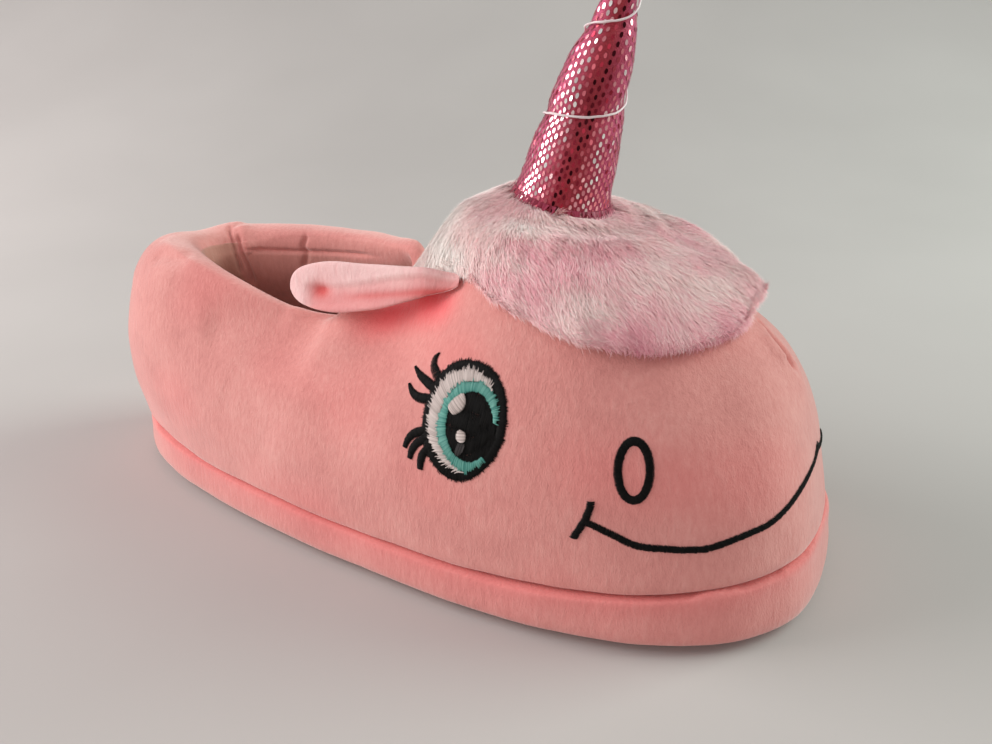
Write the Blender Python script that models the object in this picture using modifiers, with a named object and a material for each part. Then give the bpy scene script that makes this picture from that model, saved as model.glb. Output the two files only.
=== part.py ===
"""Plush slipper with an animal's head over the toes.

Metres, +Z up, toe towards +X. The part stands on its outsole at z = 0, centred on x and y.
The upper is one hollow padded shell. Each of its sections runs from the band seam up the outside,
over the collar's roll and down the inside to the footbed.
"""

import math

import bmesh
import bpy
import numpy as np
from mathutils import Vector
from mathutils.bvhtree import BVHTree

# Sole
SOLE_LENGTH = 0.280
HEEL_WIDTH = 0.093
BALL_WIDTH = 0.1284
HEEL_ROUNDNESS = 2.36
TOE_ROUNDNESS = 2.66
BAND_HEIGHT = 0.0235
BAND_PROUD = 0.0026
OUTSOLE_THICKNESS = 0.0015
OUTSOLE_INSET = 0.0045
INSOLE_THICKNESS = 0.005
INSOLE_CLEARANCE = 0.0008
EDGE_BEVEL = 0.25
GAP = 0.0003

# Collar, whose crest runs round the opening
COLLAR_HEIGHT = 0.0945
OPENING_LENGTH = 0.1045
OPENING_WIDTH = 0.055
OPENING_SETBACK = 0.0276
OPENING_ROUNDNESS = 2.3
FAR_THROAT_ROUNDNESS = 2.6
OPENING_NARROWING = 0.93
COLLAR_SHARE = 0.51
THROAT_RISE = 0.07
ROLL_HANDLE = 0.62
ROLL_CREST_HANDLE = 0.93
FAR_ROLL_DELAY = 3.0

# Head, from the throat to the nose
HEAD_HEIGHT = 0.111
HEAD_MIDDLE = 0.37
NOSE_SETBACK = 0.0213
THROAT_BLEND = 0.08

# Wall of the upper, at the footbed and under the crown
HEEL_WALL = 0.014
SIDE_WALL = 0.011
TOE_WALL = 0.014
THROAT_WALL = 0.010
CROWN_WALL = 0.015
SEAM_TUCK = 0.0012
LINING_BELLY = 0.004
CROWN_BLEND = 0.3
LINING_BLEND = 0.25
LINING_HANDLES = (0.25, 0.55, 0.5)

# Fur on the crown
FUR_DEPTH = 0.0068
HEM_DEPTH = 0.0030
HEM_ROUND = 0.45
BACK_HEM = 1.3
SADDLE_RISE = 0.0050
SADDLE_BEARINGS = (95.0, 150.0)
BACK_BEARINGS = (150.0, 180.0)
FUR_SEAT = 0.0010
LOCK_COUNT = 30
LOCK_RELIEF = 0.0011
LOCK_OVERHANG = 1.5
HEM_TUCK = 0.985
HEM_LEVEL = 90.0
HEM_BEARINGS = (60.0, 140.0)

# Horn
HORN_LENGTH = 0.083
HORN_RADIUS = 0.0160
HORN_SETBACK = 0.0885
HORN_LEAN_BASE = 15.5
HORN_LEAN_TIP = 24.0
THREAD_PITCH = 0.0255
THREAD_CROSSING = 0.0355
THREAD_RADIUS = 0.0005
THREAD_CLEARANCE = 0.0008
THREAD_SWAY = 0.0015
THREAD_START = 0.0205
THREAD_END = 0.0765
GROOVE_DEPTH = 0.0015
GROOVE_WIDTH = 0.0032
GROOVE_FADE = 0.004
HORN_SEAT_RINGS = (0.1, 0.4, 0.7, 1.0)
HORN_TIP_SHRINK = 0.55

# Ears
EAR_LENGTH = 0.070
EAR_WIDTH = 0.0175
EAR_THICKNESS = 0.0060
EAR_CUP = 0.0036
EAR_BEARING = 121.0
EAR_ROOT_SHARE = 0.515
EAR_SEAT = 0.0028

# Height of the band seam. Columns: along, a share of the sole from the heel; height, of BAND_HEIGHT.
BAND_SEAM = (
    (0.00, 0.80),
    (0.25, 0.70),
    (0.50, 0.65),
    (0.75, 0.68),
    (1.00, 1.00),
)

# Side of the band. Columns: up, a share of its height; out, a share of BAND_PROUD.
BAND_SIDE = (
    (0.00, 0.15),
    (0.09, 0.75),
    (0.22, 1.00),
    (0.42, 0.95),
    (0.68, 0.65),
    (0.90, 0.20),
    (1.00, -0.45),
)

# Crest of the collar, which has slumped under the near ear. Columns: along, a share of the opening;
# near and far height, of COLLAR_HEIGHT.
COLLAR_CREST = (
    (0.00, 1.000, 1.000),
    (0.20, 0.990, 0.985),
    (0.40, 0.930, 0.985),
    (0.60, 0.850, 0.990),
    (0.80, 0.800, 0.990),
    (0.93, 0.805, 0.950),
    (1.00, 0.860, 0.880),
)

# Centre line of the head behind the nose. Columns: along, a share from throat to nose;
# height, of HEAD_HEIGHT.
HEAD_RIDGE = (
    (0.00, 0.730),
    (0.10, 0.800),
    (0.22, 0.930),
    (0.34, 0.985),
    (0.48, 0.985),
    (0.71, 0.900),
    (0.89, 0.822),
    (1.00, 0.752),
)

# How each side section leaves the seam and reaches its crest. Columns: where; rise, the upright
# handle as a share of the section's height; lean, outwards; crown, the level handle as a share of
# the section's depth.
SIDE_SECTIONS = (
    ("heel", 0.45, 0.0175, 0.54),
    ("side", 0.55, 0.0022, 0.70),
    ("toe", 0.54, -0.0045, 0.71),
)

# Collar roll from its crest to the lining. Columns: where; inwards; down; turn, degrees by which
# its end points under the wall.
COLLAR_ROLL = (
    ("heel", 0.0120, 0.0130, 4.0),
    ("side", 0.0070, 0.0110, 0.0),
    ("throat", -0.0070, 0.0085, 62.0),
)

# Edge of the fur, seen from the middle of the head. Columns: bearing from the nose, in degrees;
# tilt from upright, a share of head_reach.
FUR_HEM = (
    (0.0, 0.583),
    (20.0, 0.583),
    (40.0, 0.561),
    (60.0, 0.506),
    (80.0, 0.471),
    (100.0, 0.461),
    (120.0, 0.448),
    (140.0, 0.610),
    (160.0, 0.854),
    (180.0, 0.958),
)

# Horn. Columns: along, a share of its length; radius, of HORN_RADIUS.
HORN_RADII = (
    (0.00, 1.00),
    (0.085, 0.98),
    (0.14, 0.910),
    (0.25, 0.850),
    (0.385, 0.765),
    (0.46, 0.710),
    (0.61, 0.570),
    (0.69, 0.475),
    (0.777, 0.355),
    (0.90, 0.225),
    (0.97, 0.140),
)

# Ear. Columns: along, a share of its length; width and thickness, of EAR_WIDTH and
# EAR_THICKNESS; sag, of its length.
EAR_STATIONS = (
    (0.000, 0.20, 0.55, 0.000),
    (0.035, 0.34, 0.80, 0.000),
    (0.150, 0.50, 0.90, 0.006),
    (0.320, 0.72, 1.00, 0.014),
    (0.500, 0.90, 1.00, 0.016),
    (0.680, 1.00, 1.00, 0.010),
    (0.820, 0.95, 1.00, 0.000),
    (0.920, 0.76, 0.90, -0.006),
    (0.975, 0.48, 0.70, -0.008),
    (1.000, 0.18, 0.40, -0.008),
)

# How the ears lie: the near one back on the collar, the far one down beside it. Columns: name;
# side; pitch downwards, swing outwards and tilt of the leaf inwards, in degrees.
EARS = (
    ("ear_right", 1, 10.5, -4.0, 14.0),
    ("ear_left", -1, 31.0, 17.0, 22.0),
)

# How finely each form is cut
COLLAR_STATIONS = 19
HEAD_STATIONS = 19
OUTER_STEPS = (0.0, 0.03, 0.10, 0.19, 0.29, 0.39, 0.49, 0.59, 0.69, 0.79, 0.88, 0.95, 1.0)
ROLL_STEPS = 5
INNER_STEPS = 9
FUR_STEPS = 7
HORN_SIDES = 24
HORN_STEP = 0.0029
THREAD_TURN_POINTS = 18
EAR_SIDES = 14

# Sides of the slipper: the near one is at -Y
NEAR, FAR = "near", "far"

HALF_LENGTH = SOLE_LENGTH / 2
HEEL_CREST_X = -HALF_LENGTH + OPENING_SETBACK
THROAT_X = HEEL_CREST_X + OPENING_LENGTH
NOSE_X = HALF_LENGTH - NOSE_SETBACK
HORN_X = HALF_LENGTH - HORN_SETBACK


def lerp(a, b, t):
    return a + (b - a) * t


def smooth(t):
    t = np.clip(t, 0.0, 1.0)
    return t * t * (3.0 - 2.0 * t)


def between(value, ends):
    return smooth((value - ends[0]) / (ends[1] - ends[0]))


def curve_through(rows, at):
    """Smooth curve through a table's rows, read at the values of its first column."""
    rows = np.asarray(rows, float)
    x, y = rows[:, 0], rows[:, 1]
    slope = np.gradient(y, x)
    k = np.clip(np.searchsorted(x, at, side="right") - 1, 0, len(x) - 2)
    h = x[k + 1] - x[k]
    t = np.clip((at - x[k]) / h, 0.0, 1.0)
    return (
        (1 + 2 * t) * (1 - t) ** 2 * y[k]
        + t * (1 - t) ** 2 * h * slope[k]
        + t * t * (3 - 2 * t) * y[k + 1]
        + t * t * (t - 1) * h * slope[k + 1]
    )


def three_way(first, middle, last, t):
    """Parabola through three values at t = 0, 1/2 and 1."""
    return (1 - t) * (1 - 2 * t) * first + 4 * t * (1 - t) * middle + t * (2 * t - 1) * last


def unit(vectors):
    return vectors / np.linalg.norm(vectors, axis=-1, keepdims=True)


def bezier(p0, p1, p2, p3, t):
    """Cubic curves, one for each row of the four points, read at the values t."""
    t = np.asarray(t)[None, :, None]
    p0, p1, p2, p3 = (p[:, None, :] for p in (p0, p1, p2, p3))
    return (1 - t) ** 3 * p0 + 3 * t * (1 - t) ** 2 * p1 + 3 * t**2 * (1 - t) * p2 + t**3 * p3


def stations():
    """Places round the near half, from 0 at the heel to 1 at the toe, with one at the throat."""
    collar = np.linspace(0.0, COLLAR_SHARE, COLLAR_STATIONS + 1)
    head = np.linspace(COLLAR_SHARE, 1.0, HEAD_STATIONS + 1)
    return np.concatenate([collar, head[1:]])


def rounded(angle, exponent):
    """Cosine and sine of a superellipse."""
    c, s = np.cos(angle), np.sin(angle)
    return (
        np.sign(c) * np.abs(c) ** (2 / exponent),
        np.abs(s) ** (2 / exponent) * (np.abs(s) > 1e-9),
    )


def outline(u):
    """The last's outline at the band seam, its near half, and the way out of it."""
    angle = np.pi * (1 - u)
    exponent = np.where(np.cos(angle) < 0, HEEL_ROUNDNESS, TOE_ROUNDNESS)
    c, s = rounded(angle, exponent)
    half_width = lerp(HEEL_WIDTH, BALL_WIDTH, smooth((c + 1) / 2)) / 2
    points = np.stack([HALF_LENGTH * c, -half_width * s, 0 * c], 1)
    power = exponent - 1
    out = np.stack([np.sign(c) * np.abs(c) ** power / HALF_LENGTH, -(s**power) / half_width, 0 * c], 1)
    return points, unit(out)


def seam_height(x):
    return BAND_HEIGHT * curve_through(BAND_SEAM, x / SOLE_LENGTH + 0.5)


def rim(u, side):
    """Crest of the collar for 0 <= u <= COLLAR_SHARE, and the level way in from it."""
    angle = np.pi * (1 - u / COLLAR_SHARE)
    along = (1 + np.cos(angle)) / 2
    at_throat = OPENING_ROUNDNESS if side == NEAR else FAR_THROAT_ROUNDNESS
    c, s = rounded(angle, lerp(OPENING_ROUNDNESS, at_throat, smooth(2 * along - 1)))
    half_width = OPENING_WIDTH / 2 * lerp(1.0, OPENING_NARROWING, along)
    middle = HEEL_CREST_X + OPENING_LENGTH / 2
    crest_rows = [(share, near if side == NEAR else far) for share, near, far in COLLAR_CREST]
    height = COLLAR_HEIGHT * curve_through(crest_rows, along)
    height = lerp(height, throat_height(), smooth((along - 1 + THROAT_RISE) / THROAT_RISE))
    points = np.stack([middle + OPENING_LENGTH / 2 * c, -half_width * s, height], 1)
    inward = unit(np.stack([-c / OPENING_LENGTH, s / OPENING_WIDTH, 0 * c], 1))
    return points, inward


def throat_height():
    return HEAD_HEIGHT * HEAD_RIDGE[0][1]


def ridge(share):
    """Centre line of the head from throat to nose, its forward tangent and its upward normal."""
    table = np.array(HEAD_RIDGE)
    fine = np.linspace(0.0, 1.0, 201)
    x = lerp(THROAT_X, NOSE_X, fine)
    z = HEAD_HEIGHT * curve_through(table, fine)
    walked = np.concatenate([[0.0], np.cumsum(np.hypot(np.diff(x), np.diff(z)))])
    walked /= walked[-1]
    dx = np.interp(share, walked, np.gradient(x))
    dz = np.interp(share, walked, np.gradient(z))
    points = np.stack([np.interp(share, walked, x), 0 * share, np.interp(share, walked, z)], 1)
    tangent = unit(np.stack([dx, 0 * dx, dz], 1))
    normal = np.stack([-tangent[:, 2], 0 * dx, tangent[:, 0]], 1)
    return points, tangent, normal


def crest(u, side):
    """Top of each section: the collar's crest, then the head's centre line."""
    collar = u <= COLLAR_SHARE
    points, inward = rim(np.minimum(u, COLLAR_SHARE), side)
    share = np.clip((u - COLLAR_SHARE) / (1 - COLLAR_SHARE), 0.0, 1.0)
    on_ridge, tangent, normal = ridge(share)
    points = np.where(collar[:, None], points, on_ridge)
    slope = np.where(collar, 0.0, tangent[:, 2] / tangent[:, 0] * smooth(
        (u - COLLAR_SHARE) / THROAT_BLEND))
    return points, inward, slope, normal


def side_values(u):
    rise, lean, crown = (
        three_way(*[row[k] for row in SIDE_SECTIONS], u)[:, None] for k in (1, 2, 3)
    )
    return rise, lean, crown


def outer_wall(u, side=NEAR, steps=OUTER_STEPS):
    """Outside of the upper, from the band seam to the crest: an array of section, step, xyz."""
    base, out = outline(u)
    base[:, 2] = seam_height(base[:, 0]) + GAP
    top, _, slope, _ = crest(u, side)
    rise, lean, crown = side_values(u)
    level = (top - base) * [1, 1, 0]
    depth = np.linalg.norm(level, axis=1)[:, None]
    arrive = level / depth
    arrive[:, 2] = arrive[:, 0] * slope
    arrive = unit(arrive)
    height = (top - base)[:, 2:3]
    wall = bezier(
        base, base + rise * height * [0, 0, 1] + lean * out, top - crown * depth * arrive, top, steps
    )
    wall[:, 0] = base - SEAM_TUCK * out
    return wall


def collar_roll(u, side=NEAR):
    """The padded roll from the collar's crest over to the lining, and the way it ends."""
    top, inward = rim(u, side)
    t = smooth(u / COLLAR_SHARE)
    if side == FAR:
        t = np.minimum(t, 0.5) + np.clip(2 * t - 1, 0, 1) ** FAR_ROLL_DELAY / 2
    across, down, turn = (
        three_way(*[row[k] for row in COLLAR_ROLL], t)[:, None] for k in (1, 2, 3)
    )
    turn = np.radians(turn)
    end = top + across * inward - down * [0, 0, 1]
    leave = -np.cos(turn) * [0, 0, 1] - np.sin(turn) * inward
    size = np.maximum(np.abs(across), 0.8 * down)
    steps = np.linspace(0.0, 1.0, ROLL_STEPS + 1)
    over = top + ROLL_CREST_HANDLE * size * inward
    return bezier(top, over, end - ROLL_HANDLE * size * leave, end, steps), leave


def inner_wall(u, side=NEAR):
    """The lining, from the roll or the ceiling down to the footbed."""
    base, out = outline(u)
    wall = three_way(HEEL_WALL, SIDE_WALL, TOE_WALL, u)[:, None]
    base = base - wall * out
    base[:, 2] = seam_height(base[:, 0]) + GAP
    top, _, slope, normal = crest(u, side)
    collar = (u <= COLLAR_SHARE)[:, None]
    roll, leave = collar_roll(np.minimum(u, COLLAR_SHARE), side)
    share = np.clip((u - COLLAR_SHARE) / (1 - COLLAR_SHARE), 0.0, 1.0)[:, None]
    thickness = lerp(THROAT_WALL, CROWN_WALL, smooth(share / CROWN_BLEND))
    top = np.where(collar, roll[:, -1], top - thickness * normal)
    level = (base - top) * [1, 1, 0]
    depth = np.linalg.norm(level, axis=1)[:, None]
    outward = level / depth
    outward[:, 2] = outward[:, 0] * slope
    outward = unit(outward)
    near_throat = smooth((u / COLLAR_SHARE - 1 + LINING_BLEND) / LINING_BLEND)[:, None]
    leave = unit(lerp(leave, outward, near_throat))
    height = (top - base)[:, 2:3]
    at_collar, at_crown, at_footbed = LINING_HANDLES
    reach = lerp(at_collar * height, at_crown * depth, near_throat)
    rise = base + at_footbed * height * [0, 0, 1] + LINING_BELLY * out
    return bezier(top, top + reach * leave, rise, base, np.linspace(0.0, 1.0, INNER_STEPS + 1))


def collection(name):
    made = bpy.data.collections.new(name)
    bpy.context.scene.collection.children.link(made)
    return made


def material(name, colour, roughness, metallic=0.0):
    made = bpy.data.materials.new(name)
    made.use_nodes = True
    shader = made.node_tree.nodes["Principled BSDF"]
    shader.inputs["Base Color"].default_value = (*colour, 1.0)
    shader.inputs["Roughness"].default_value = roughness
    shader.inputs["Metallic"].default_value = metallic
    return made


def flatten_to_plane(points):
    """Points a rounding away from the mirror plane are put on it."""
    points[np.abs(points[..., 1]) < 1e-7, 1] = 0.0
    return points


def add_grid(mesh, grid, closed=False):
    """Quads over a grid of points whose second index may run round in a loop."""
    grid = flatten_to_plane(np.array(grid, float))
    rows, columns = grid.shape[:2]
    verts = [[mesh.verts.new(point) for point in row] for row in grid]
    for i in range(rows - 1):
        for k in range(columns if closed else columns - 1):
            n = (k + 1) % columns
            mesh.faces.new((verts[i][k], verts[i + 1][k], verts[i + 1][n], verts[i][n]))
    return verts


def finish_mesh(name, mesh, group, look, root, mirrored):
    """Welds the patches and makes the object; a half gets its Mirror."""
    bmesh.ops.remove_doubles(mesh, verts=mesh.verts, dist=2e-6)
    bmesh.ops.dissolve_degenerate(mesh, edges=mesh.edges, dist=1e-6)
    if not mirrored:
        bmesh.ops.recalc_face_normals(mesh, faces=mesh.faces)
    data = bpy.data.meshes.new(name)
    mesh.to_mesh(data)
    mesh.free()
    data.shade_smooth()
    data.materials.append(look)
    made = bpy.data.objects.new(name, data)
    group.objects.link(made)
    made.parent = root
    if mirrored:
        mirror = made.modifiers.new("both_sides", "MIRROR")
        mirror.use_axis = (False, True, False)
        mirror.use_mirror_merge = True
        mirror.merge_threshold = 0.00001
    return made


def make_upper(group, look, root):
    u = stations()
    collar = u[u <= COLLAR_SHARE]
    mesh = bmesh.new()
    for side, across in ((NEAR, 1), (FAR, -1)):
        outer = outer_wall(u, side)
        inner = inner_wall(u, side)
        under = np.stack([inner[:, -1], outer[:, 0]], 1)
        for grid in (outer, collar_roll(collar, side)[0], inner, under):
            add_grid(mesh, (grid * [1, across, 1])[::across])
    return finish_mesh("upper", mesh, group, look, root, mirrored=False)


def outside_tree():
    """The outside of the upper, both halves, for what sits on it."""
    u = stations()
    points, faces = [], []
    for side, across in ((NEAR, 1), (FAR, -1)):
        for grid in (outer_wall(u, side), collar_roll(u[u <= COLLAR_SHARE], side)[0]):
            first = len(points)
            rows, columns = grid.shape[:2]
            points += [Vector(p) for p in (grid * [1, across, 1]).reshape(-1, 3)]
            faces += [
                (a, a + columns, a + columns + 1, a + 1)
                for i in range(rows - 1)
                for a in range(first + i * columns, first + i * columns + columns - 1)
            ]
    return BVHTree.FromPolygons(points, faces)


def slab(name, group, look, root, inset, low, high, side):
    """A layer of the sole inside an outline. Side is a table of up and outwards, in metres."""
    u = stations()
    points, out = outline(u)
    chain = []
    for up, outwards in side:
        edge = points + (outwards - inset)[:, None] * out
        edge[:, 2] = lerp(low(edge[:, 0]), high(edge[:, 0]), up)
        chain.append(edge)
    under = chain[0] * [1, 0, 1]
    over = chain[-1] * [1, 0, 1]
    mesh = bmesh.new()
    add_grid(mesh, np.stack([under, *chain, over], 1))
    return finish_mesh(name, mesh, group, look, root, mirrored=True)


def make_sole(group, looks, root):
    u = stations()
    none = np.zeros(len(u))
    flat = OUTSOLE_THICKNESS
    outsole_edge = EDGE_BEVEL * OUTSOLE_THICKNESS
    slab("outsole", group, looks["outsole"], root, none + OUTSOLE_INSET,
         lambda x: 0 * x, lambda x: 0 * x + flat,
         ((0.0, -outsole_edge), (EDGE_BEVEL, 0.0), (1.0, 0.0)))
    slab("midsole", group, looks["plush"], root, none,
         lambda x: 0 * x + flat + GAP, seam_height,
         [(up, out * BAND_PROUD) for up, out in BAND_SIDE])
    wall = three_way(HEEL_WALL, SIDE_WALL, TOE_WALL, u)
    edge = EDGE_BEVEL * INSOLE_THICKNESS
    slab("insole", group, looks["lining"], root, wall + INSOLE_CLEARANCE,
         lambda x: seam_height(x) + GAP, lambda x: seam_height(x) + GAP + INSOLE_THICKNESS,
         ((0.0, 0.0), (1 - EDGE_BEVEL, 0.0), (1.0, -edge)))


def horn_axis(s):
    """Points along the horn's leaning centre line from its seat, and the way along it."""
    fine = np.linspace(0.0, HORN_LENGTH, 200)
    lean = np.radians(lerp(HORN_LEAN_BASE, HORN_LEAN_TIP, (fine / HORN_LENGTH) ** 1.5))
    step = fine[1]
    x = np.cumsum(np.sin(lean)) * step
    z = np.cumsum(np.cos(lean)) * step
    share = (HORN_X - THROAT_X) / (NOSE_X - THROAT_X)
    seat = HEAD_HEIGHT * curve_through(HEAD_RIDGE, np.array([share]))[0]
    s = np.atleast_1d(s)
    points = np.stack(
        [HORN_X + np.interp(s, fine, x - x[0]), 0 * s, seat + np.interp(s, fine, z - z[0])], 1
    )
    lean = np.interp(s, fine, lean)
    return points, np.stack([np.sin(lean), 0 * s, np.cos(lean)], 1)


def thread_height(angle):
    """How far along the horn the thread is at an angle that grows turn after turn."""
    turned = angle + np.pi / 2
    return THREAD_CROSSING + THREAD_PITCH * turned / (2 * np.pi) - THREAD_SWAY * np.sin(turned)


def horn_radius(s, angle):
    """Radius of the stuffed horn, pinched along its thread."""
    radius = HORN_RADIUS * curve_through(HORN_RADII, s / HORN_LENGTH)
    turn = np.arctan2(np.sin(angle), np.cos(angle))
    pinch = 0.0
    for n in range(-2, 4):
        away = s - thread_height(turn + 2 * np.pi * n)
        pinch = np.maximum(pinch, np.exp(-((away / GROOVE_WIDTH) ** 2)))
    inside = smooth((s - THREAD_START) / GROOVE_FADE) * smooth((THREAD_END - s) / GROOVE_FADE)
    return radius - GROOVE_DEPTH * pinch * inside * smooth(radius / (3 * GROOVE_DEPTH))


def on_horn(s, angle, lift=0.0):
    centre, along = horn_axis(s)
    sideways = np.stack([along[:, 2], 0 * along[:, 0], -along[:, 0]], 1)
    radius = (horn_radius(s, angle) + lift)[:, None]
    return centre + radius * (
        np.cos(angle)[:, None] * sideways + np.sin(angle)[:, None] * np.array([0, 1, 0])
    )


def add_loft(mesh, rings):
    """A closed body through rings of points, each end filled by a fan from its middle."""
    verts = [[mesh.verts.new(point) for point in ring] for ring in rings]
    sides = len(rings[0])
    for low, high in zip(verts, verts[1:]):
        for k in range(sides):
            n = (k + 1) % sides
            mesh.faces.new((low[k], low[n], high[n], high[k]))
    for ring, points in ((verts[0], rings[0]), (verts[-1], rings[-1])):
        middle = mesh.verts.new(np.mean(points, axis=0))
        for k in range(sides):
            mesh.faces.new((ring[k], ring[(k + 1) % sides], middle))


def on_crown(tree, point):
    """The place on the head under or over a point, a seat's clearance up."""
    hit = tree.ray_cast(Vector((point[0], point[1], 1.0)), Vector((0, 0, -1)))[0]
    return hit + Vector((0, 0, FUR_SEAT))


def make_horn(group, looks, root, tree):
    angles = np.linspace(0.0, 2 * np.pi, HORN_SIDES, endpoint=False)
    heights = np.arange(2 * HORN_STEP, HORN_LENGTH * HORN_RADII[-1][0], HORN_STEP)
    foot = on_horn(np.full(HORN_SIDES, 0.0), angles)
    rings = []
    for share in HORN_SEAT_RINGS:
        ring = lerp(np.array([HORN_X, 0.0, 0.0]), foot, share)
        rings.append(np.array([on_crown(tree, point) for point in ring]))
    rings += [on_horn(np.full(HORN_SIDES, s), angles) for s in heights]
    rings.append(on_horn(np.full(HORN_SIDES, HORN_LENGTH * HORN_RADII[-1][0]), angles))
    along = horn_axis(HORN_LENGTH)[1]
    rings.append(lerp(rings[-1], np.mean(rings[-1], axis=0), HORN_TIP_SHRINK)
                 + along * HORN_LENGTH * (1 - HORN_RADII[-1][0]) / 2)
    mesh = bmesh.new()
    add_loft(mesh, rings)
    return finish_mesh("horn", mesh, group, looks["horn"], root, mirrored=False)


def make_thread(group, look, root):
    """The thread wound up the horn, a clearance above its groove."""
    fine = np.linspace(-3 * np.pi, 6 * np.pi, 2000)
    height = thread_height(fine)
    first = np.interp(THREAD_START, height, fine)
    last = np.interp(THREAD_END, height, fine)
    count = int((last - first) / (2 * np.pi) * THREAD_TURN_POINTS)
    angles = np.linspace(first, last, count)
    points = on_horn(thread_height(angles), angles, THREAD_RADIUS + THREAD_CLEARANCE)
    curve = bpy.data.curves.new("horn_thread", "CURVE")
    curve.dimensions = "3D"
    curve.bevel_depth = THREAD_RADIUS
    curve.bevel_resolution = 2
    curve.use_fill_caps = True
    spline = curve.splines.new("POLY")
    spline.points.add(count - 1)
    for target, point in zip(spline.points, points):
        target.co = (*point, 1.0)
    curve.materials.append(look)
    made = bpy.data.objects.new("horn_thread", curve)
    group.objects.link(made)
    made.parent = root


def head_centre():
    return np.array([HORN_X + 0.003, 0.0, HEAD_MIDDLE * HEAD_HEIGHT])


def head_reach(bearing):
    """Tilt, in degrees, of the lowest place on the head at a bearing: level in front and at the
    sides, and the throat's edge at the back."""
    back, _, middle = head_centre() - [THROAT_X, 0.0, 0.0]
    throat = math.degrees(math.atan2(back, throat_height() - middle))
    return lerp(HEM_LEVEL, throat, between(bearing, HEM_BEARINGS))


def on_head(tree, bearing, tilt, lift):
    """The place on the head at a bearing from the nose and a tilt from upright, in degrees."""
    b, t = math.radians(bearing), math.radians(tilt)
    way = Vector((math.sin(t) * math.cos(b), -math.sin(t) * math.sin(b), math.cos(t)))
    hit = tree.ray_cast(Vector(head_centre()), way)[0]
    return np.array(hit + way * lift)


def distance_from_horn(point):
    centre, along = horn_axis(0.0)
    reach = point - centre[0]
    return np.linalg.norm(reach - (reach @ along[0]) * along[0])


def tilt_round_horn(tree, bearing, lift):
    """Tilt at which the fur leaves the horn, found by halving."""
    low, high = 0.0, 30.0
    for _ in range(24):
        middle = (low + high) / 2
        if distance_from_horn(on_head(tree, bearing, middle, lift)) < HORN_RADIUS + 2 * GAP:
            low = middle
        else:
            high = middle
    return high


def make_forelock(group, look, root, tree):
    """Fur over the crown: locks run out from the horn and end in a wavy hem."""
    sides = int(LOCK_COUNT / 2) * 3
    grid = []
    for bearing in np.linspace(0.0, 180.0, sides + 1):
        phase = bearing / 180.0 * math.pi * LOCK_COUNT / 2
        lock = abs(math.sin(phase)) * (0.8 + 0.2 * math.sin(2.7 * phase + 1.0))
        hem = head_reach(bearing) * curve_through(FUR_HEM, np.array([bearing]))[0]
        hem += LOCK_OVERHANG * (lock - 0.5)
        back = between(bearing, BACK_BEARINGS)
        saddle = between(bearing, SADDLE_BEARINGS)
        under, over = [], []
        for ring in np.linspace(0.0, 1.0, FUR_STEPS + 1):
            rounding = max(ring - 1 + HEM_ROUND, 0.0) / HEM_ROUND
            depth = lerp(FUR_DEPTH, HEM_DEPTH, rounding**2)
            depth = lerp(depth, min(depth, BACK_HEM * HEM_DEPTH), back * ring)
            depth += LOCK_RELIEF * (lock - 0.5) * ring
            depth += SADDLE_RISE * saddle * (1 - smooth(ring / (1 - HEM_ROUND)))
            start = tilt_round_horn(tree, bearing, depth)
            over.append(on_head(tree, bearing, lerp(start, hem, ring), depth))
            start = tilt_round_horn(tree, bearing, FUR_SEAT)
            under.append(on_head(tree, bearing, lerp(start, hem, HEM_TUCK * ring), FUR_SEAT))
        grid.append(over[::-1] + under)
    grid = np.array(grid)
    grid[0, :, 1] = grid[-1, :, 1] = 0.0
    mesh = bmesh.new()
    add_grid(mesh, grid[::-1], closed=True)
    return finish_mesh("forelock", mesh, group, look, root, mirrored=True)


def make_ear(name, side, pitch, swing, tilt, group, look, root, tree):
    """A stuffed leaf that lies back along the collar with its cupped face outwards."""
    pitch, swing, tilt = (math.radians(a) for a in (pitch, swing, tilt))
    back = np.array([-math.cos(pitch) * math.cos(swing), -math.sin(swing), -math.sin(pitch)])
    upright = np.array([0.0, math.sin(tilt), math.cos(tilt)])
    across = unit(upright - (upright @ back) * back)
    face = np.cross(across, back)
    face *= -np.sign(face[1])
    seat = on_head(tree, EAR_BEARING, EAR_ROOT_SHARE * head_reach(EAR_BEARING), EAR_SEAT)
    angles = np.linspace(0.0, 2 * math.pi, EAR_SIDES, endpoint=False)
    rings = []
    for along, width, thickness, sag in EAR_STATIONS:
        middle = seat + EAR_LENGTH * (along * back - sag * across)
        wide = np.cos(angles) * width * EAR_WIDTH / 2
        deep = np.sin(angles) * thickness * EAR_THICKNESS / 2
        deep = deep + EAR_CUP * width * (np.cos(angles) ** 2 - 0.5)
        rings.append(middle + wide[:, None] * across + deep[:, None] * face)
    rings = np.array(rings) * [1, side, 1]
    mesh = bmesh.new()
    add_loft(mesh, rings)
    return finish_mesh(name, mesh, group, look, root, mirrored=False)


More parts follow.
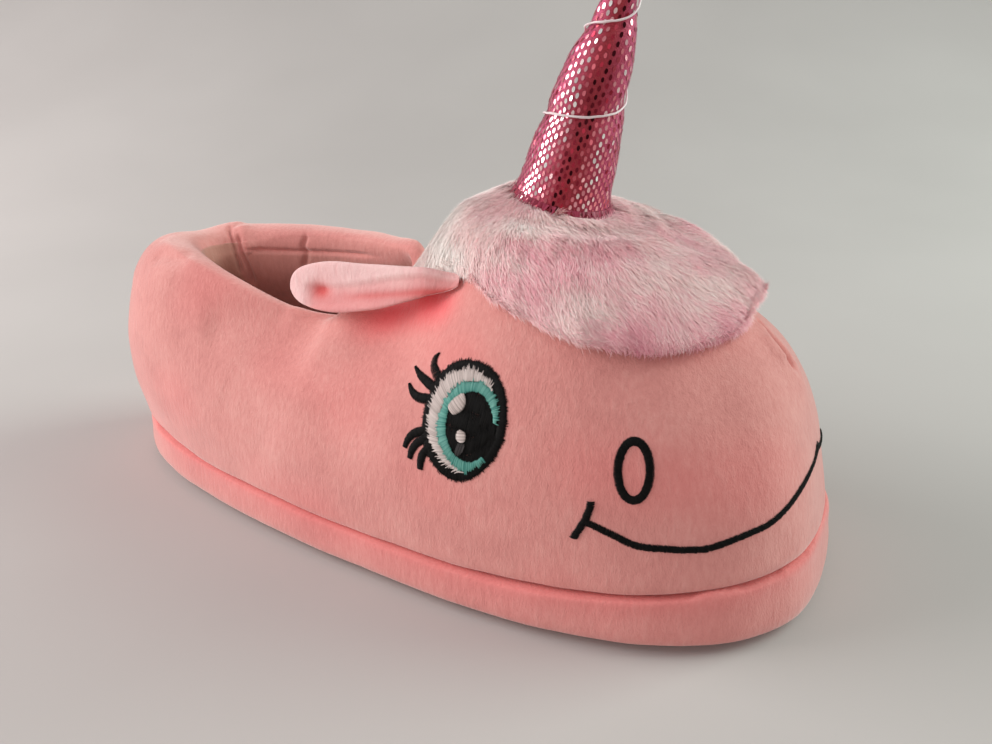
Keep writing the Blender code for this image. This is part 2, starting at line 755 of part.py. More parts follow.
def main():
    for old in list(bpy.data.objects):
        bpy.data.objects.remove(old)
    group = collection("animal_slipper")
    looks = {
        "plush": material("plush", (0.80, 0.40, 0.37), 0.85),
        "fur": material("fur", (0.82, 0.50, 0.54), 0.9),
        "horn": material("horn", (0.55, 0.09, 0.20), 0.35, 0.4),
        "thread": material("thread", (0.85, 0.78, 0.76), 0.5),
        "lining": material("lining", (0.55, 0.36, 0.31), 0.9),
        "outsole": material("outsole", (0.70, 0.68, 0.66), 0.7),
    }
    root = bpy.data.objects.new("slipper", None)
    group.objects.link(root)
    u = stations()
    back = outer_wall(u)[..., 0].min()
    front = max(outer_wall(u)[..., 0].max(), HALF_LENGTH + BAND_PROUD)
    root.location.x = -(back + front) / 2
    make_sole(group, looks, root)
    make_upper(group, looks["plush"], root)
    tree = outside_tree()
    make_forelock(group, looks["fur"], root, tree)
    make_horn(group, looks, root, tree)
    make_thread(group, looks["thread"], root)
    for ear in EARS:
        make_ear(*ear, group, looks["plush"], root, tree)


main()
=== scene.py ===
"""Looks of the plush animal slipper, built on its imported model.

Metres, +Z up, toe towards +X, near side at -Y. Names that end in _MM hold millimetres, and so do
the limits given to below() and above().
"""

import math

import bmesh
import bpy
import numpy as np
from mathutils import Matrix, Vector
from mathutils.bvhtree import BVHTree


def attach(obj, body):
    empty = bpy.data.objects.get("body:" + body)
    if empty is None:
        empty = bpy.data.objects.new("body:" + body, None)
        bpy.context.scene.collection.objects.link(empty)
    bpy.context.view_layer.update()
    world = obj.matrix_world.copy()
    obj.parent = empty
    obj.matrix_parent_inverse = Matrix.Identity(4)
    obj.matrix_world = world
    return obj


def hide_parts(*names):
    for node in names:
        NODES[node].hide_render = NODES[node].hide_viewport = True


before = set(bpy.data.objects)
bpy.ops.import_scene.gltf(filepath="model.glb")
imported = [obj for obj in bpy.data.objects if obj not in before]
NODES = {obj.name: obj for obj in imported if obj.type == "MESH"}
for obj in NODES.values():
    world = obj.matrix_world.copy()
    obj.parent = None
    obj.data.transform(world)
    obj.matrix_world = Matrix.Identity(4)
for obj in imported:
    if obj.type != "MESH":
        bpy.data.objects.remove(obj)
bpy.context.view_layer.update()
MM = 0.001
RANDOM = np.random.default_rng(31)

# Middle of the head, and the foot and forward lean of the horn's axis
HEAD_MM = (55.8, 0.0, 41.1)
HORN_FOOT_MM = (52.8, 0.0, 109.3)
HORN_LEAN = math.radians(15.5)

# Camera: focal length and frame width in pixels; place, target and roll fitted to the photograph
FOCAL_PX = 833.8
FRAME_PX = 992
CAMERA_MM = (158.3, -234.7, 174.5)
CAMERA_RIGHT = (0.88414, 0.465418, -0.04102)
CAMERA_UP = (-0.157398, 0.379362, 0.911762)
CAMERA_BACK = (0.439912, -0.799669, 0.408665)


def lerp(a, b, t):
    return a + (b - a) * t


def smooth(t):
    t = np.clip(t, 0.0, 1.0)
    return t * t * (3.0 - 2.0 * t)


def mm(values):
    """Places or sizes in millimetres, as metres."""
    return np.array(values) * MM


def below(values, limit_mm, over_mm):
    """0 above a limit, rising softly to 1 at a distance below it."""
    return smooth((limit_mm * MM - values) / (over_mm * MM))


def above(values, limit_mm, over_mm):
    """0 below a limit, rising softly to 1 at a distance above it."""
    return smooth((values - limit_mm * MM) / (over_mm * MM))


def bell(away, reach):
    """1 at no distance, falling softly to 0 at about twice the reach."""
    return np.exp(-((away / reach) ** 2))


def unit(v):
    return v / np.maximum(np.linalg.norm(v, axis=-1, keepdims=True), 1e-12)


def colour(red, green, blue):
    """Linear colour from the 0-255 values that a screen shows."""
    c = np.array([red, green, blue]) / 255.0
    c = np.where(c <= 0.04045, c / 12.92, ((c + 0.055) / 1.055) ** 2.4)
    return (*c, 1.0)


WAVE_COUNT = 9
WAVE_PACE = (0.7, 1.5)
WAVE_GAIN = 0.25
FULL_TURN = 6.283


def waves(points, size, seed):
    """Soft random hills about size apart, most of them from -1 to 1."""
    made = np.random.default_rng(seed)
    total = np.zeros(len(points))
    for _ in range(WAVE_COUNT):
        way = made.normal(size=3)
        way *= made.uniform(*WAVE_PACE) / np.linalg.norm(way) * 2 * math.pi / size
        total += np.sin(points @ way + made.uniform(0, FULL_TURN))
    return total * WAVE_GAIN


def hills(points, layers):
    """Sum of waves. Columns of layers: height in millimetres, distance in metres, seed."""
    return sum(height * waves(points, size, seed) for height, size, seed in layers) * MM


def spline(points, count):
    """Points evenly spaced along a smooth curve through the given ones."""
    p = np.asarray(points, float)
    ends = np.vstack([2 * p[0] - p[1], p, 2 * p[-1] - p[-2]])
    fine = []
    for a, b, c, d in zip(ends, ends[1:], ends[2:], ends[3:]):
        t = np.linspace(0, 1, 24, endpoint=False)[:, None]
        fine.append(
            0.5 * (2 * b + (c - a) * t + (2 * a - 5 * b + 4 * c - d) * t**2
                   + (3 * b - a - 3 * c + d) * t**3)
        )
    fine = np.vstack([*fine, p[-1:]])
    walked = np.concatenate([[0], np.cumsum(np.linalg.norm(np.diff(fine, axis=0), axis=1))])
    at = np.linspace(0, walked[-1], count)
    return np.stack([np.interp(at, walked, fine[:, k]) for k in range(p.shape[1])], 1)


# Materials


class Shader:
    """A material with short calls for its nodes."""

    def __init__(self, name, roughness, **sockets):
        self.material = bpy.data.materials.new(name)
        self.material.use_nodes = True
        self.nodes = self.material.node_tree.nodes
        self.links = self.material.node_tree.links
        self.surface = self.nodes["Principled BSDF"]
        self.surface.inputs["Roughness"].default_value = roughness
        for socket, value in sockets.items():
            self.surface.inputs[socket.replace("_", " ")].default_value = value
        self.place = self.nodes.new("ShaderNodeTexCoord").outputs["Object"]

    def stretched(self, scale):
        mapping = self.nodes.new("ShaderNodeMapping")
        mapping.inputs["Scale"].default_value = scale
        self.links.new(self.place, mapping.inputs["Vector"])
        return mapping.outputs["Vector"]

    def noise(self, scale, detail=3.0, roughness=0.55, vector=None):
        made = self.nodes.new("ShaderNodeTexNoise")
        made.inputs["Scale"].default_value = scale
        made.inputs["Detail"].default_value = detail
        made.inputs["Roughness"].default_value = roughness
        self.links.new(vector or self.place, made.inputs["Vector"])
        return made.outputs["Fac"]

    def attribute(self, name):
        made = self.nodes.new("ShaderNodeAttribute")
        made.attribute_name = name
        return made.outputs["Fac"]

    def ramp(self, value, *stops):
        """Colours between stops, each a value and its colour."""
        made = self.nodes.new("ShaderNodeValToRGB")
        elements = made.color_ramp.elements
        for at, _ in stops[1:-1]:
            elements.new(at)
        for element, (at, shade) in zip(elements, stops):
            element.position = at
            element.color = shade
        self.links.new(value, made.inputs["Fac"])
        return made.outputs["Color"]

    def mix(self, factor, first, second):
        """One colour over another. A mix node's colour sockets are its inputs 6 and 7, output 2."""
        made = self.nodes.new("ShaderNodeMix")
        made.data_type = "RGBA"
        for socket, value in ((0, factor), (6, first), (7, second)):
            if isinstance(value, (tuple, float)):
                made.inputs[socket].default_value = value
            else:
                self.links.new(value, made.inputs[socket])
        return made.outputs[2]

    def sums(self, *weighted):
        """Weighted sum of values."""
        total = None
        for value, weight in weighted:
            made = self.nodes.new("ShaderNodeMath")
            made.operation = "MULTIPLY_ADD"
            made.inputs[1].default_value = weight
            self.links.new(value, made.inputs[0])
            if total is not None:
                self.links.new(total, made.inputs[2])
            else:
                made.inputs[2].default_value = 0.0
            total = made.outputs[0]
        return total

    def finish(self, base, height=None, depth=0.0004):
        self.links.new(base, self.surface.inputs["Base Color"])
        if height is not None:
            bump = self.nodes.new("ShaderNodeBump")
            bump.inputs["Strength"].default_value = 1.0
            bump.inputs["Distance"].default_value = depth
            self.links.new(height, bump.inputs["Height"])
            self.links.new(bump.outputs["Normal"], self.surface.inputs["Normal"])
        return self.material


def plush_material(name, dark, mid, light, lining=None, tone_and_painted_glow=None):
    """Short pile: streaks along the nap, soft mottling and a pale bloom at glancing light."""
    look = Shader(name, 0.85, Sheen_Weight=0.75, Sheen_Roughness=0.45,
                  Sheen_Tint=(1.0, 0.84, 0.80, 1.0), Specular_IOR_Level=0.15)
    streaks = look.noise(700.0, roughness=0.6, vector=look.stretched((1.0, 1.0, 0.28)))
    fine = look.noise(2300.0, detail=2.0, roughness=0.6, vector=look.stretched((1.0, 1.0, 0.5)))
    patches = look.noise(34.0, detail=2.0)
    value = look.sums((patches, 0.45), (streaks, 0.38), (fine, 0.17))
    base = look.ramp(value, (0.34, dark), (0.50, mid), (0.66, light))
    # Deeper pink from the attribute: painted glow, and some of the plush's own tone
    if tone_and_painted_glow is not None:
        base = look.mix(look.attribute("tone_and_painted_glow"), base, tone_and_painted_glow)
    # Towards the lining colour: the lining itself, and painted shade inside the hollow
    if lining is not None:
        base = look.mix(look.attribute("lining"), base, lining)
    return look.finish(base, look.sums((streaks, 0.6), (fine, 0.4)), 0.0004)


# The deep pink serves painted glow and the plush's own deeper tone; the lining colour serves the lining
# and painted shade inside the hollow
PLUSH = plush_material("plush", colour(212, 136, 130), colour(225, 149, 142), colour(234, 164, 156),
                       lining=colour(192, 140, 124), tone_and_painted_glow=colour(255, 92, 100))
# The ear's deep red serves painted shade in its hollows and a painted glow at its root
EAR_PLUSH = plush_material("ear_plush", colour(238, 182, 180), colour(246, 200, 198),
                           colour(252, 214, 210), tone_and_painted_glow=colour(214, 92, 90))
FOOTBED = plush_material("footbed", colour(176, 122, 108), colour(190, 134, 120), colour(204, 148, 134))


def fur_material():
    look = Shader("fur", 0.8, Sheen_Weight=0.6, Sheen_Roughness=0.5,
                  Sheen_Tint=(1.0, 0.90, 0.90, 1.0), Specular_IOR_Level=0.2)
    base = look.ramp(look.attribute("shade"), (0.0, colour(232, 142, 162)), (0.35, colour(253, 190, 198)),
                     (0.65, colour(255, 226, 222)), (1.0, colour(255, 250, 244)))
    return look.finish(base)


def horn_material():
    look = Shader("horn_cloth", 0.42, Sheen_Weight=0.5, Sheen_Roughness=0.3,
                  Sheen_Tint=(1.0, 0.55, 0.72, 1.0), Metallic=0.25)
    weave = look.noise(2600.0, detail=2.0)
    patches = look.noise(70.0, detail=2.0)
    value = look.sums((weave, 0.5), (patches, 0.5))
    # Flanks: lighter magenta as painted sheen. Front: deeper red as painted shade where the cloth faces
    # the camera
    flank = look.ramp(value, (0.35, colour(164, 46, 84)), (0.65, colour(216, 88, 132)))
    front = look.ramp(value, (0.35, colour(140, 22, 40)), (0.65, colour(188, 52, 66)))
    return look.finish(look.mix(look.attribute("front"), flank, front), weave, 0.0003)


# The foil's colours run from dark red, for painted dark reflections, to near white, for painted glints
def foil_material():
    look = Shader("foil", 0.26, Metallic=0.9)
    base = look.ramp(look.attribute("shade"), (0.0, colour(60, 6, 16)), (0.25, colour(180, 50, 70)),
                     (0.6, colour(246, 150, 160)), (1.0, colour(255, 250, 246)))
    return look.finish(base)


def thread_material(name, dark, light, roughness=0.45, gloss=0.4):
    """Embroidery thread, with the gloss that runs along each strand."""
    look = Shader(name, roughness, Specular_IOR_Level=gloss)
    base = look.ramp(look.attribute("shade"), (0.0, dark), (1.0, light))
    return look.finish(base)


def outsole_material():
    look = Shader("sole_cloth", 0.8)
    grain = look.noise(1500.0, detail=2.0)
    base = look.ramp(grain, (0.35, colour(196, 190, 186)), (0.65, colour(222, 218, 214)))
    return look.finish(base, grain, 0.0004)


FUR = fur_material()
HORN_CLOTH = horn_material()
FOIL = foil_material()
FRINGE_THREAD = thread_material("fringe_thread", colour(128, 24, 50), colour(190, 70, 100))
SILVER_THREAD = thread_material("silver_thread", colour(214, 186, 190), colour(250, 238, 238), 0.3)
THREADS = {
    "black": thread_material("black_thread", colour(5, 4, 4), colour(20, 18, 17), 0.6, 0.12),
    "white": thread_material("white_thread", colour(180, 164, 158), colour(226, 212, 206)),
    "teal": thread_material("teal_thread", colour(48, 130, 120), colour(114, 180, 166)),
    "grey": thread_material("grey_thread", colour(52, 48, 48), colour(82, 78, 78), 0.6, 0.2),
}


# Meshes


def points_of(mesh):
    points = np.empty(len(mesh.vertices) * 3, np.float32)
    mesh.vertices.foreach_get("co", points)
    return points.reshape(-1, 3).astype(float)


def normals_of(mesh):
    normals = np.empty(len(mesh.vertices) * 3, np.float32)
    mesh.vertices.foreach_get("normal", normals)
    return normals.reshape(-1, 3).astype(float)


def set_points(mesh, points):
    mesh.vertices.foreach_set("co", np.asarray(points, np.float32).ravel())
    mesh.update()


def set_values(mesh, name, values):
    made = mesh.attributes.new(name, "FLOAT", "POINT")
    made.data.foreach_set("value", np.asarray(values, np.float32))


def placed(name, data):
    """A new object in the scene."""
    made = bpy.data.objects.new(name, data)
    bpy.context.scene.collection.objects.link(made)
    return made


def add_object(name, mesh, look, replaced=()):
    mesh.materials.clear()
    mesh.materials.append(look)
    made = placed(name, mesh)
    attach(made, "root")
    if replaced:
        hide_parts(*replaced)
    return made


def fine_copy(node, levels):
    """The node's form with its quads restored and subdivided, as a new mesh."""
    mesh = bmesh.new()
    mesh.from_mesh(NODES[node].data)
    bmesh.ops.remove_doubles(mesh, verts=mesh.verts, dist=3e-6)
    bmesh.ops.join_triangles(
        mesh, faces=mesh.faces, angle_face_threshold=math.radians(60),
        angle_shape_threshold=math.radians(70)
    )
    data = bpy.data.meshes.new(node + "_form")
    mesh.to_mesh(data)
    mesh.free()
    scratch = placed(node + "_form", data)
    subdivided = scratch.modifiers.new("finer", "SUBSURF")
    subdivided.levels = subdivided.render_levels = levels
    graph = bpy.context.evaluated_depsgraph_get()
    fine = bpy.data.meshes.new_from_object(scratch.evaluated_get(graph))
    bpy.data.objects.remove(scratch)
    fine.shade_smooth()
    return fine


def tree_of(mesh, keep=None):
    points = [Vector(p) for p in points_of(mesh)]
    faces = [tuple(f.vertices) for f in mesh.polygons]
    if keep is not None:
        faces = [f for f in faces if keep[f[0]]]
    return BVHTree.FromPolygons(points, faces)


def distance_to_line(points, line):
    """Distance of each point from a polyline, and the share of its length at the nearest place."""
    best = np.full(len(points), 1e9)
    share = np.zeros(len(points))
    lengths = np.linalg.norm(np.diff(line, axis=0), axis=1)
    before = np.concatenate([[0], np.cumsum(lengths)])
    for k, (a, b) in enumerate(zip(line, line[1:])):
        along = np.clip(((points - a) @ (b - a)) / (lengths[k] ** 2 + 1e-15), 0, 1)
        away = np.linalg.norm(points - (a + along[:, None] * (b - a)), axis=1)
        nearer = away < best
        best[nearer] = away[nearer]
        share[nearer] = (before[k] + along[nearer] * lengths[k]) / before[-1]
    return best, share


# Creases in the upper. Columns: depth and width in millimetres (a ridge is negative); the places
# that the line runs through, in millimetres.
CREASES = (
    # The near rim beside the heel, with the roll below it
    (1.6, 3.6, ((-108, -24, 87), (-102, -23.5, 91), (-92, -24.5, 91.5), (-84, -22, 90.5))),
    (-0.9, 5.0, ((-110, -30, 82), (-100, -31, 85), (-88, -31, 85))),
    # Slack below the near rim, the roll under the ear and the rim's own
    (1.9, 9.0, ((-76, -36, 70), (-62, -35, 71), (-48, -33, 70), (-32, -33, 69), (-16, -34, 69))),
    (-3.2, 9.0, ((-20, -25, 76), (-10, -23, 78), (-2, -20, 78.5), (7, -18, 82.5), (16, -21, 88),
                 (26, -27, 94))),
    (-1.4, 6.0, ((-42, -27, 76), (-32, -26.5, 74.4), (-22, -25.5, 74.2), (-12, -23, 77))),
    # The seam down the snout, and the pucker beside it
    (2.4, 1.3, ((115, 4, 86), (119, 2, 83.2), (122, -0.3, 82), (124.5, -0.9, 79.6), (127, -1, 76.7),
                (130, -0.6, 72))),
    (-1.0, 2.6, ((118, -3, 83), (123, -4, 80), (127, -4, 76.5))),
    # Dents of the near flank
    (0.8, 10.0, ((-62, -46, 52), (-44, -48, 44), (-30, -50, 36))),
    (0.7, 12.0, ((-6, -46, 60), (-3, -52, 46), (-6, -56, 34))),
    # The lining's seam along the far rim, and the crease that crosses it
    (1.1, 0.9, ((-96, 7, 84.9), (-86, 13.4, 84.1), (-76, 16.6, 83.8), (-65, 18.8, 83.9),
                (-50, 19, 84.8), (-29, 17, 86))),
    (1.3, 1.2, ((-67, 22, 91), (-66.7, 19.4, 89), (-67.5, 18.5, 86), (-66.6, 18.4, 82), (-69, 18, 76))),
    # Two folds where the far rim turns round the heel, with the roll beside them
    (1.5, 1.0, ((-103, 16, 94), (-100.2, 12.3, 93.3), (-96.1, 8.6, 88.7), (-94.7, 8.3, 81.3),
                (-94.5, 9.8, 72))),
    (1.5, 0.9, ((-96.2, 12.4, 91.9), (-93.8, 10.2, 88.4), (-92.6, 10, 82.3), (-91.4, 11, 75.8),
                (-92, 13, 67))),
    (-1.4, 3.0, ((-98, 17, 94), (-93, 13.5, 89), (-89, 12.5, 82))),
    # The dip in the heel's crest, and the swells on both sides of it
    (2.0, 9.0, ((-126, 6, 80), (-116, 7, 90), (-104, 7, 89), (-98, 6, 80))),
    (-1.4, 9.0, ((-128, -12, 76), (-120, -12, 86), (-108, -12, 89))),
    (-1.2, 8.0, ((-118, 24, 84), (-109, 22, 92), (-98, 20, 91))),
)

# A crease fades over this share of its length at each end, down to this share of its depth
CREASE_FADE = 0.18
CREASE_LEAST = 0.15

# Creases up to this wide are cut finer into the mesh, this far to both sides
FINE_CREASE_MM = 1.5
REFINE_REACH_MM = 3.0

# Slack of the plush, in the columns of hills
UPPER_HILLS = ((0.55, 0.060, 5), (0.16, 0.022, 6))
BAND_HILLS = ((0.4, 0.034, 15), (0.12, 0.014, 16))
BAND_HILLS_SHARE = 0.7
SIDE_LEAST = 0.3

# Ends of the sole's middle line; the hollow's middle line from the heel forward under the head,
# with the shares of its length at its places
SOLE_MIDDLE_MM = (-92, 88)
HOLLOW_MIDDLE_MM = ((-92, 0, 60), (-40, 0, 55), (20, 0, 50), (104, 0, 42))
HOLLOW_SHARES = (0, 0.265, 0.57, 1.0)

# Height of the band's upper edge at places along the slipper, in metres
SEAM_PLACES = (-0.142, -0.071, 0.0, 0.071, 0.142)
SEAM_HEIGHTS = (0.0188, 0.0165, 0.0153, 0.0160, 0.0235)

# The groove there is closed from above and from below: how far up and down that reaches, and how
# far the cloth moves outwards and upwards
SEAM_REACH_MM = 4.0
UPPER_EDGE_ABOVE_MM = 1.0
UPPER_EDGE_MOVE_MM = (0.9, -0.9)
BAND_EDGE_MOVE_MM = (1.3, 0.8)

# The collar's far corner beside the fur: its middle, how far its rise reaches, and the rise
FAR_CORNER_MM = (-7, 19, 86)
FAR_CORNER_REACH_MM = (10, 12, 12)
FAR_CORNER_SHIFT_MM = (5.0, 0.0, 8.5)

# Shares of the lining's colour: over the inside near the rim as painted shade in the hollow, added below
# its seam, and on the lining's own beige patch at the heel
LINING_AND_SHADE_TONES = (0.10, 0.30, 0.9)

# Deeper pink: a painted glow of the light through the near ear's root, the plush's own mottling, and the
# band under its seam
GLOW = 0.95
GLOW_REACH_MM = 8.5
GLOW_START = 0.5
GLOW_MM = ((-16, -25, 76), (-3, -24, 78.3), (8, -22, 82.7), (15, -24, 86), (26, -30, 92))
BLUSH_HILLS = (0.12, 0.05, 9)
BAND_TONE_AND_SEAM_GLOW = (0.08, 0.20)
BAND_SEAM_GLOW_MM = (1.0, 5.0)


def out_from_sole(points):
    """Level way out from the sole's middle line at each point."""
    middle = points * [1, 0, 0]
    middle[:, 0] = np.clip(points[:, 0], *(end * MM for end in SOLE_MIDDLE_MM))
    return unit((points - middle) * [1, 1, 0])


def seam_height(points):
    return np.interp(points[:, 0], SEAM_PLACES, SEAM_HEIGHTS)


def close_seam(points, seam, edge, move_mm):
    """Fills the groove at the band seam: what lies near it moves outwards and upwards."""
    near = bell(points[:, 2] - seam, SEAM_REACH_MM * MM) * edge
    moved = points + (move_mm[0] * near * MM)[:, None] * out_from_sole(points)
    moved[:, 2] += move_mm[1] * near * MM
    return moved


def refine(mesh, lines):
    """Cuts the faces beside the given lines three times finer each way."""
    middles = np.array([f.center for f in mesh.polygons])
    away = np.min([distance_to_line(middles, spline(line, 24))[0] for line in lines], axis=0)
    cutter = bmesh.new()
    cutter.from_mesh(mesh)
    cutter.faces.ensure_lookup_table()
    near = np.nonzero(away < REFINE_REACH_MM * MM)[0]
    edges = {e for k in near for e in cutter.faces[int(k)].edges}
    edges = sorted(edges, key=lambda e: e.index)
    bmesh.ops.subdivide_edges(cutter, edges=edges, cuts=2, use_grid_fill=True)
    cutter.to_mesh(mesh)
    cutter.free()
    mesh.shade_smooth()


def in_hollow(points, normals):
    """True where the shell faces the hollow's middle line."""
    line = mm(HOLLOW_MIDDLE_MM)
    share = distance_to_line(points, line)[1]
    nearest = np.stack([np.interp(share, HOLLOW_SHARES, line[:, k]) for k in range(3)], 1)
    return ((points - nearest) * normals).sum(1) < 0


def creased(points, normals):
    """The points, moved in along troughs and out along ridges."""
    moved = points.copy()
    for depth, width, through in CREASES:
        away, along = distance_to_line(points, spline(mm(through), 24))
        fade = smooth(along / CREASE_FADE) * smooth((1 - along) / CREASE_FADE)
        fade = np.maximum(fade, CREASE_LEAST)
        moved -= (depth * MM * bell(away, width * MM) * fade)[:, None] * normals
    return moved


def upper_lining_and_shade(points, inside):
    """How much of the lining's colour shows: painted shade over the inside, more below its seam, and the
    lining's own beige on the patch at the heel.
    """
    at_rim, under_seam, at_patch = LINING_AND_SHADE_TONES
    deep = below(points[:, 2], 84.5, 3.0)
    patch = below(points[:, 0], -93.5, 2.0) * below(points[:, 2], 92, 3.0)
    return inside * np.maximum(at_rim + under_seam * deep, at_patch * patch)


def upper_glow_and_mottling(points):
    """How much deeper the pink is: a painted glow under the near ear, and the plush's own mottling."""
    away, along = distance_to_line(points, spline(mm(GLOW_MM), 20))
    # Painted glow along the fold under the near ear's root
    glow = GLOW * bell(away, GLOW_REACH_MM * MM) * smooth(along / GLOW_START)
    gain, size, seed = BLUSH_HILLS
    return np.clip(np.maximum(glow, gain * waves(points, size, seed)), 0, 1)


def shape_upper():
    """The padded shell with its creases, the colours of its lining, painted shade inside its hollow and a
    painted glow under the near ear.
    """
    mesh = fine_copy("upper", 2)
    refine(mesh, [mm(through) for _, width, through in CREASES if width <= FINE_CREASE_MM])
    points, normals = points_of(mesh), normals_of(mesh)
    inside = in_hollow(points, normals)
    moved = creased(points, normals)
    moved += (hills(points, UPPER_HILLS) * ~inside)[:, None] * normals
    seam = seam_height(points) + UPPER_EDGE_ABOVE_MM * MM
    moved = close_seam(moved, seam, ~inside, UPPER_EDGE_MOVE_MM)
    corner = (points - mm(FAR_CORNER_MM)) / mm(FAR_CORNER_REACH_MM)
    moved += np.exp(-(corner**2).sum(1))[:, None] * mm(FAR_CORNER_SHIFT_MM)
    set_points(mesh, moved)
    # Lining colour with painted shade inside, and painted glow under the ear over the plush's mottling
    set_values(mesh, "lining", upper_lining_and_shade(points, inside))
    set_values(mesh, "tone_and_painted_glow", upper_glow_and_mottling(points))
    made = add_object("upper_plush", mesh, PLUSH, ("upper",))
    return tree_of(mesh, ~inside)


def shape_band():
    """The padded band round the sole."""
    mesh = fine_copy("midsole", 2)
    points, normals = points_of(mesh), normals_of(mesh)
    on_side = np.linalg.norm(normals[:, :2], axis=1)
    moved = points + (hills(points, BAND_HILLS) * on_side * BAND_HILLS_SHARE)[:, None] * normals
    moved = close_seam(moved, seam_height(points), on_side > SIDE_LEAST, BAND_EDGE_MOVE_MM)
    moved[:, 2] = np.maximum(moved[:, 2], points[:, 2].min())
    set_points(mesh, moved)
    set_values(mesh, "lining", np.zeros(len(points)))
    # The band is a little deeper pink all over, with a painted glow just under its seam
    under, reach = (size * MM for size in BAND_SEAM_GLOW_MM)
    near = bell(seam_height(points) - points[:, 2] - under, reach)
    set_values(mesh, "tone_and_painted_glow", BAND_TONE_AND_SEAM_GLOW[0] + BAND_TONE_AND_SEAM_GLOW[1] * near)
    made = add_object("band_plush", mesh, PLUSH, ("midsole",))


def shape_insole():
    mesh = fine_copy("insole", 1)
    made = add_object("footbed", mesh, FOOTBED, ("insole",))


# The ears. Shares are of the leaf's length from its root, and places across it are from its middle.
EAR_SHIFT_MM = 3.0
EAR_DROP_MM = 0.7
EAR_HILLS = ((0.25, 0.016, 21),)
EAR_SEAT_MM = 0.9
EAR_ROOT = 0.17
EAR_ROOT_HOLD = 0.8
EAR_TIP_RIM = (0.93, 0.10)
EAR_RIM_MM = (2.2, 0.9)
EAR_RIM_WAVE = 7.0
CUP_MM = 0.75
CUP_EDGE_MM = 2.6
DIMPLE_MM = 1.2
DIMPLE_AT = 0.80
DIMPLE_BELOW_MM = 0.8
DIMPLE_REACH_MM = (4.0, 2.6)
FOLD_MM = 0.3
FOLD_BELOW_MM = (2.8, 2.0)
FOLD_WIDTH_MM = 1.3
FOLD_END = (0.72, 0.25)


def shape_ear(node, side, head):
    """A stuffed leaf with a dimple where its two cloths are caught together."""
    mesh = fine_copy(node, 3)
    points, normals = points_of(mesh), normals_of(mesh)
    centre = points.mean(0)
    axes = np.linalg.svd(points - centre, full_matrices=False)[2]
    long = axes[0] * np.sign(-axes[0][0])
    wide = axes[1] * np.sign(axes[1][2])
    face = np.cross(long, wide)
    face *= np.sign(face[1]) * -side
    front = normals @ face > 0
    along = (points - centre) @ long
    across = (points - centre) @ wide
    share = (along - along.min()) / np.ptp(along)
    dimple_along = (along - lerp(along.min(), along.max(), DIMPLE_AT)) / (DIMPLE_REACH_MM[0] * MM)
    dimple_across = (across + DIMPLE_BELOW_MM * MM) / (DIMPLE_REACH_MM[1] * MM)
    dimple = np.exp(-(dimple_along**2) - dimple_across**2)
    # The cupped face lies below a rim band that runs along the top and round the tip
    rim = EAR_RIM_MM[0] + EAR_RIM_MM[1] * np.sin(share * EAR_RIM_WAVE)
    cup = below(across, rim, CUP_EDGE_MM) * smooth((EAR_TIP_RIM[0] - share) / EAR_TIP_RIM[1])
    fold_line = -(FOLD_BELOW_MM[0] + FOLD_BELOW_MM[1] * share) * MM
    fold = bell(across - fold_line, FOLD_WIDTH_MM * MM) * smooth((FOLD_END[0] - share) / FOLD_END[1])
    depth = CUP_MM * cup * above(across, -7.8, 2.2) + DIMPLE_MM * dimple + FOLD_MM * fold
    moved = points - (depth * front * MM)[:, None] * face
    moved += hills(points, EAR_HILLS)[:, None] * normals
    moved += (long * EAR_SHIFT_MM - np.array([0.0, 0.0, EAR_DROP_MM])) * MM
    # The root is sewn flat to the head under the fur
    rooted = EAR_ROOT_HOLD * smooth((EAR_ROOT - share) / EAR_ROOT)
    hits, outwards = on_surface(head, moved)
    moved = lerp(moved, hits + outwards * EAR_SEAT_MM * MM, rooted[:, None])
    set_points(mesh, moved)
    # Its face is pinker in the cup, most of all low down, partly its own colour and partly painted shade;
    # a painted glow at the root, and painted shade in the dimple and in the fold
    in_cup = 0.55 * cup * (0.6 + 0.4 * below(across, 0, 4.0))
    tone_and_painted_glow = front * (in_cup + 0.25 * smooth((0.35 - share) / 0.3) + 0.75 * dimple + 0.25 * fold)
    set_values(mesh, "tone_and_painted_glow", np.clip(tone_and_painted_glow, 0, 1))
    made = add_object(node + "_plush", mesh, EAR_PLUSH, (node,))


# Strands: embroidery thread and fur


def strand_mesh(name, rows, shades):
    """One mesh from strands. Rows holds each strand's cross-sections: strand, along, across, xyz."""
    count, along, across = rows.shape[:3]
    points = rows.reshape(-1, 3)
    one = []
    for i in range(along - 1):
        for k in range(across - 1):
            a = i * across + k
            one.append((a, a + 1, a + across + 1, a + across))
    faces = (np.array(one)[None] + np.arange(count)[:, None, None] * along * across).reshape(-1, 4)
    mesh = bpy.data.meshes.new(name)
    mesh.from_pydata(points.tolist(), [], faces.tolist())
    mesh.shade_smooth()
    set_values(mesh, "shade", np.repeat(shades, along * across))
    return mesh


def on_surface(tree, points):
    """Nearest places on a surface and its normals there."""
    found = [tree.find_nearest(Vector(p)) for p in points]
    return np.array([f[0] for f in found]), np.array([f[1] for f in found])


# Rays are cast at the head and at the horn from this far out, in metres
CLOTH_RAY = 0.05
HORN_RAY = 0.03


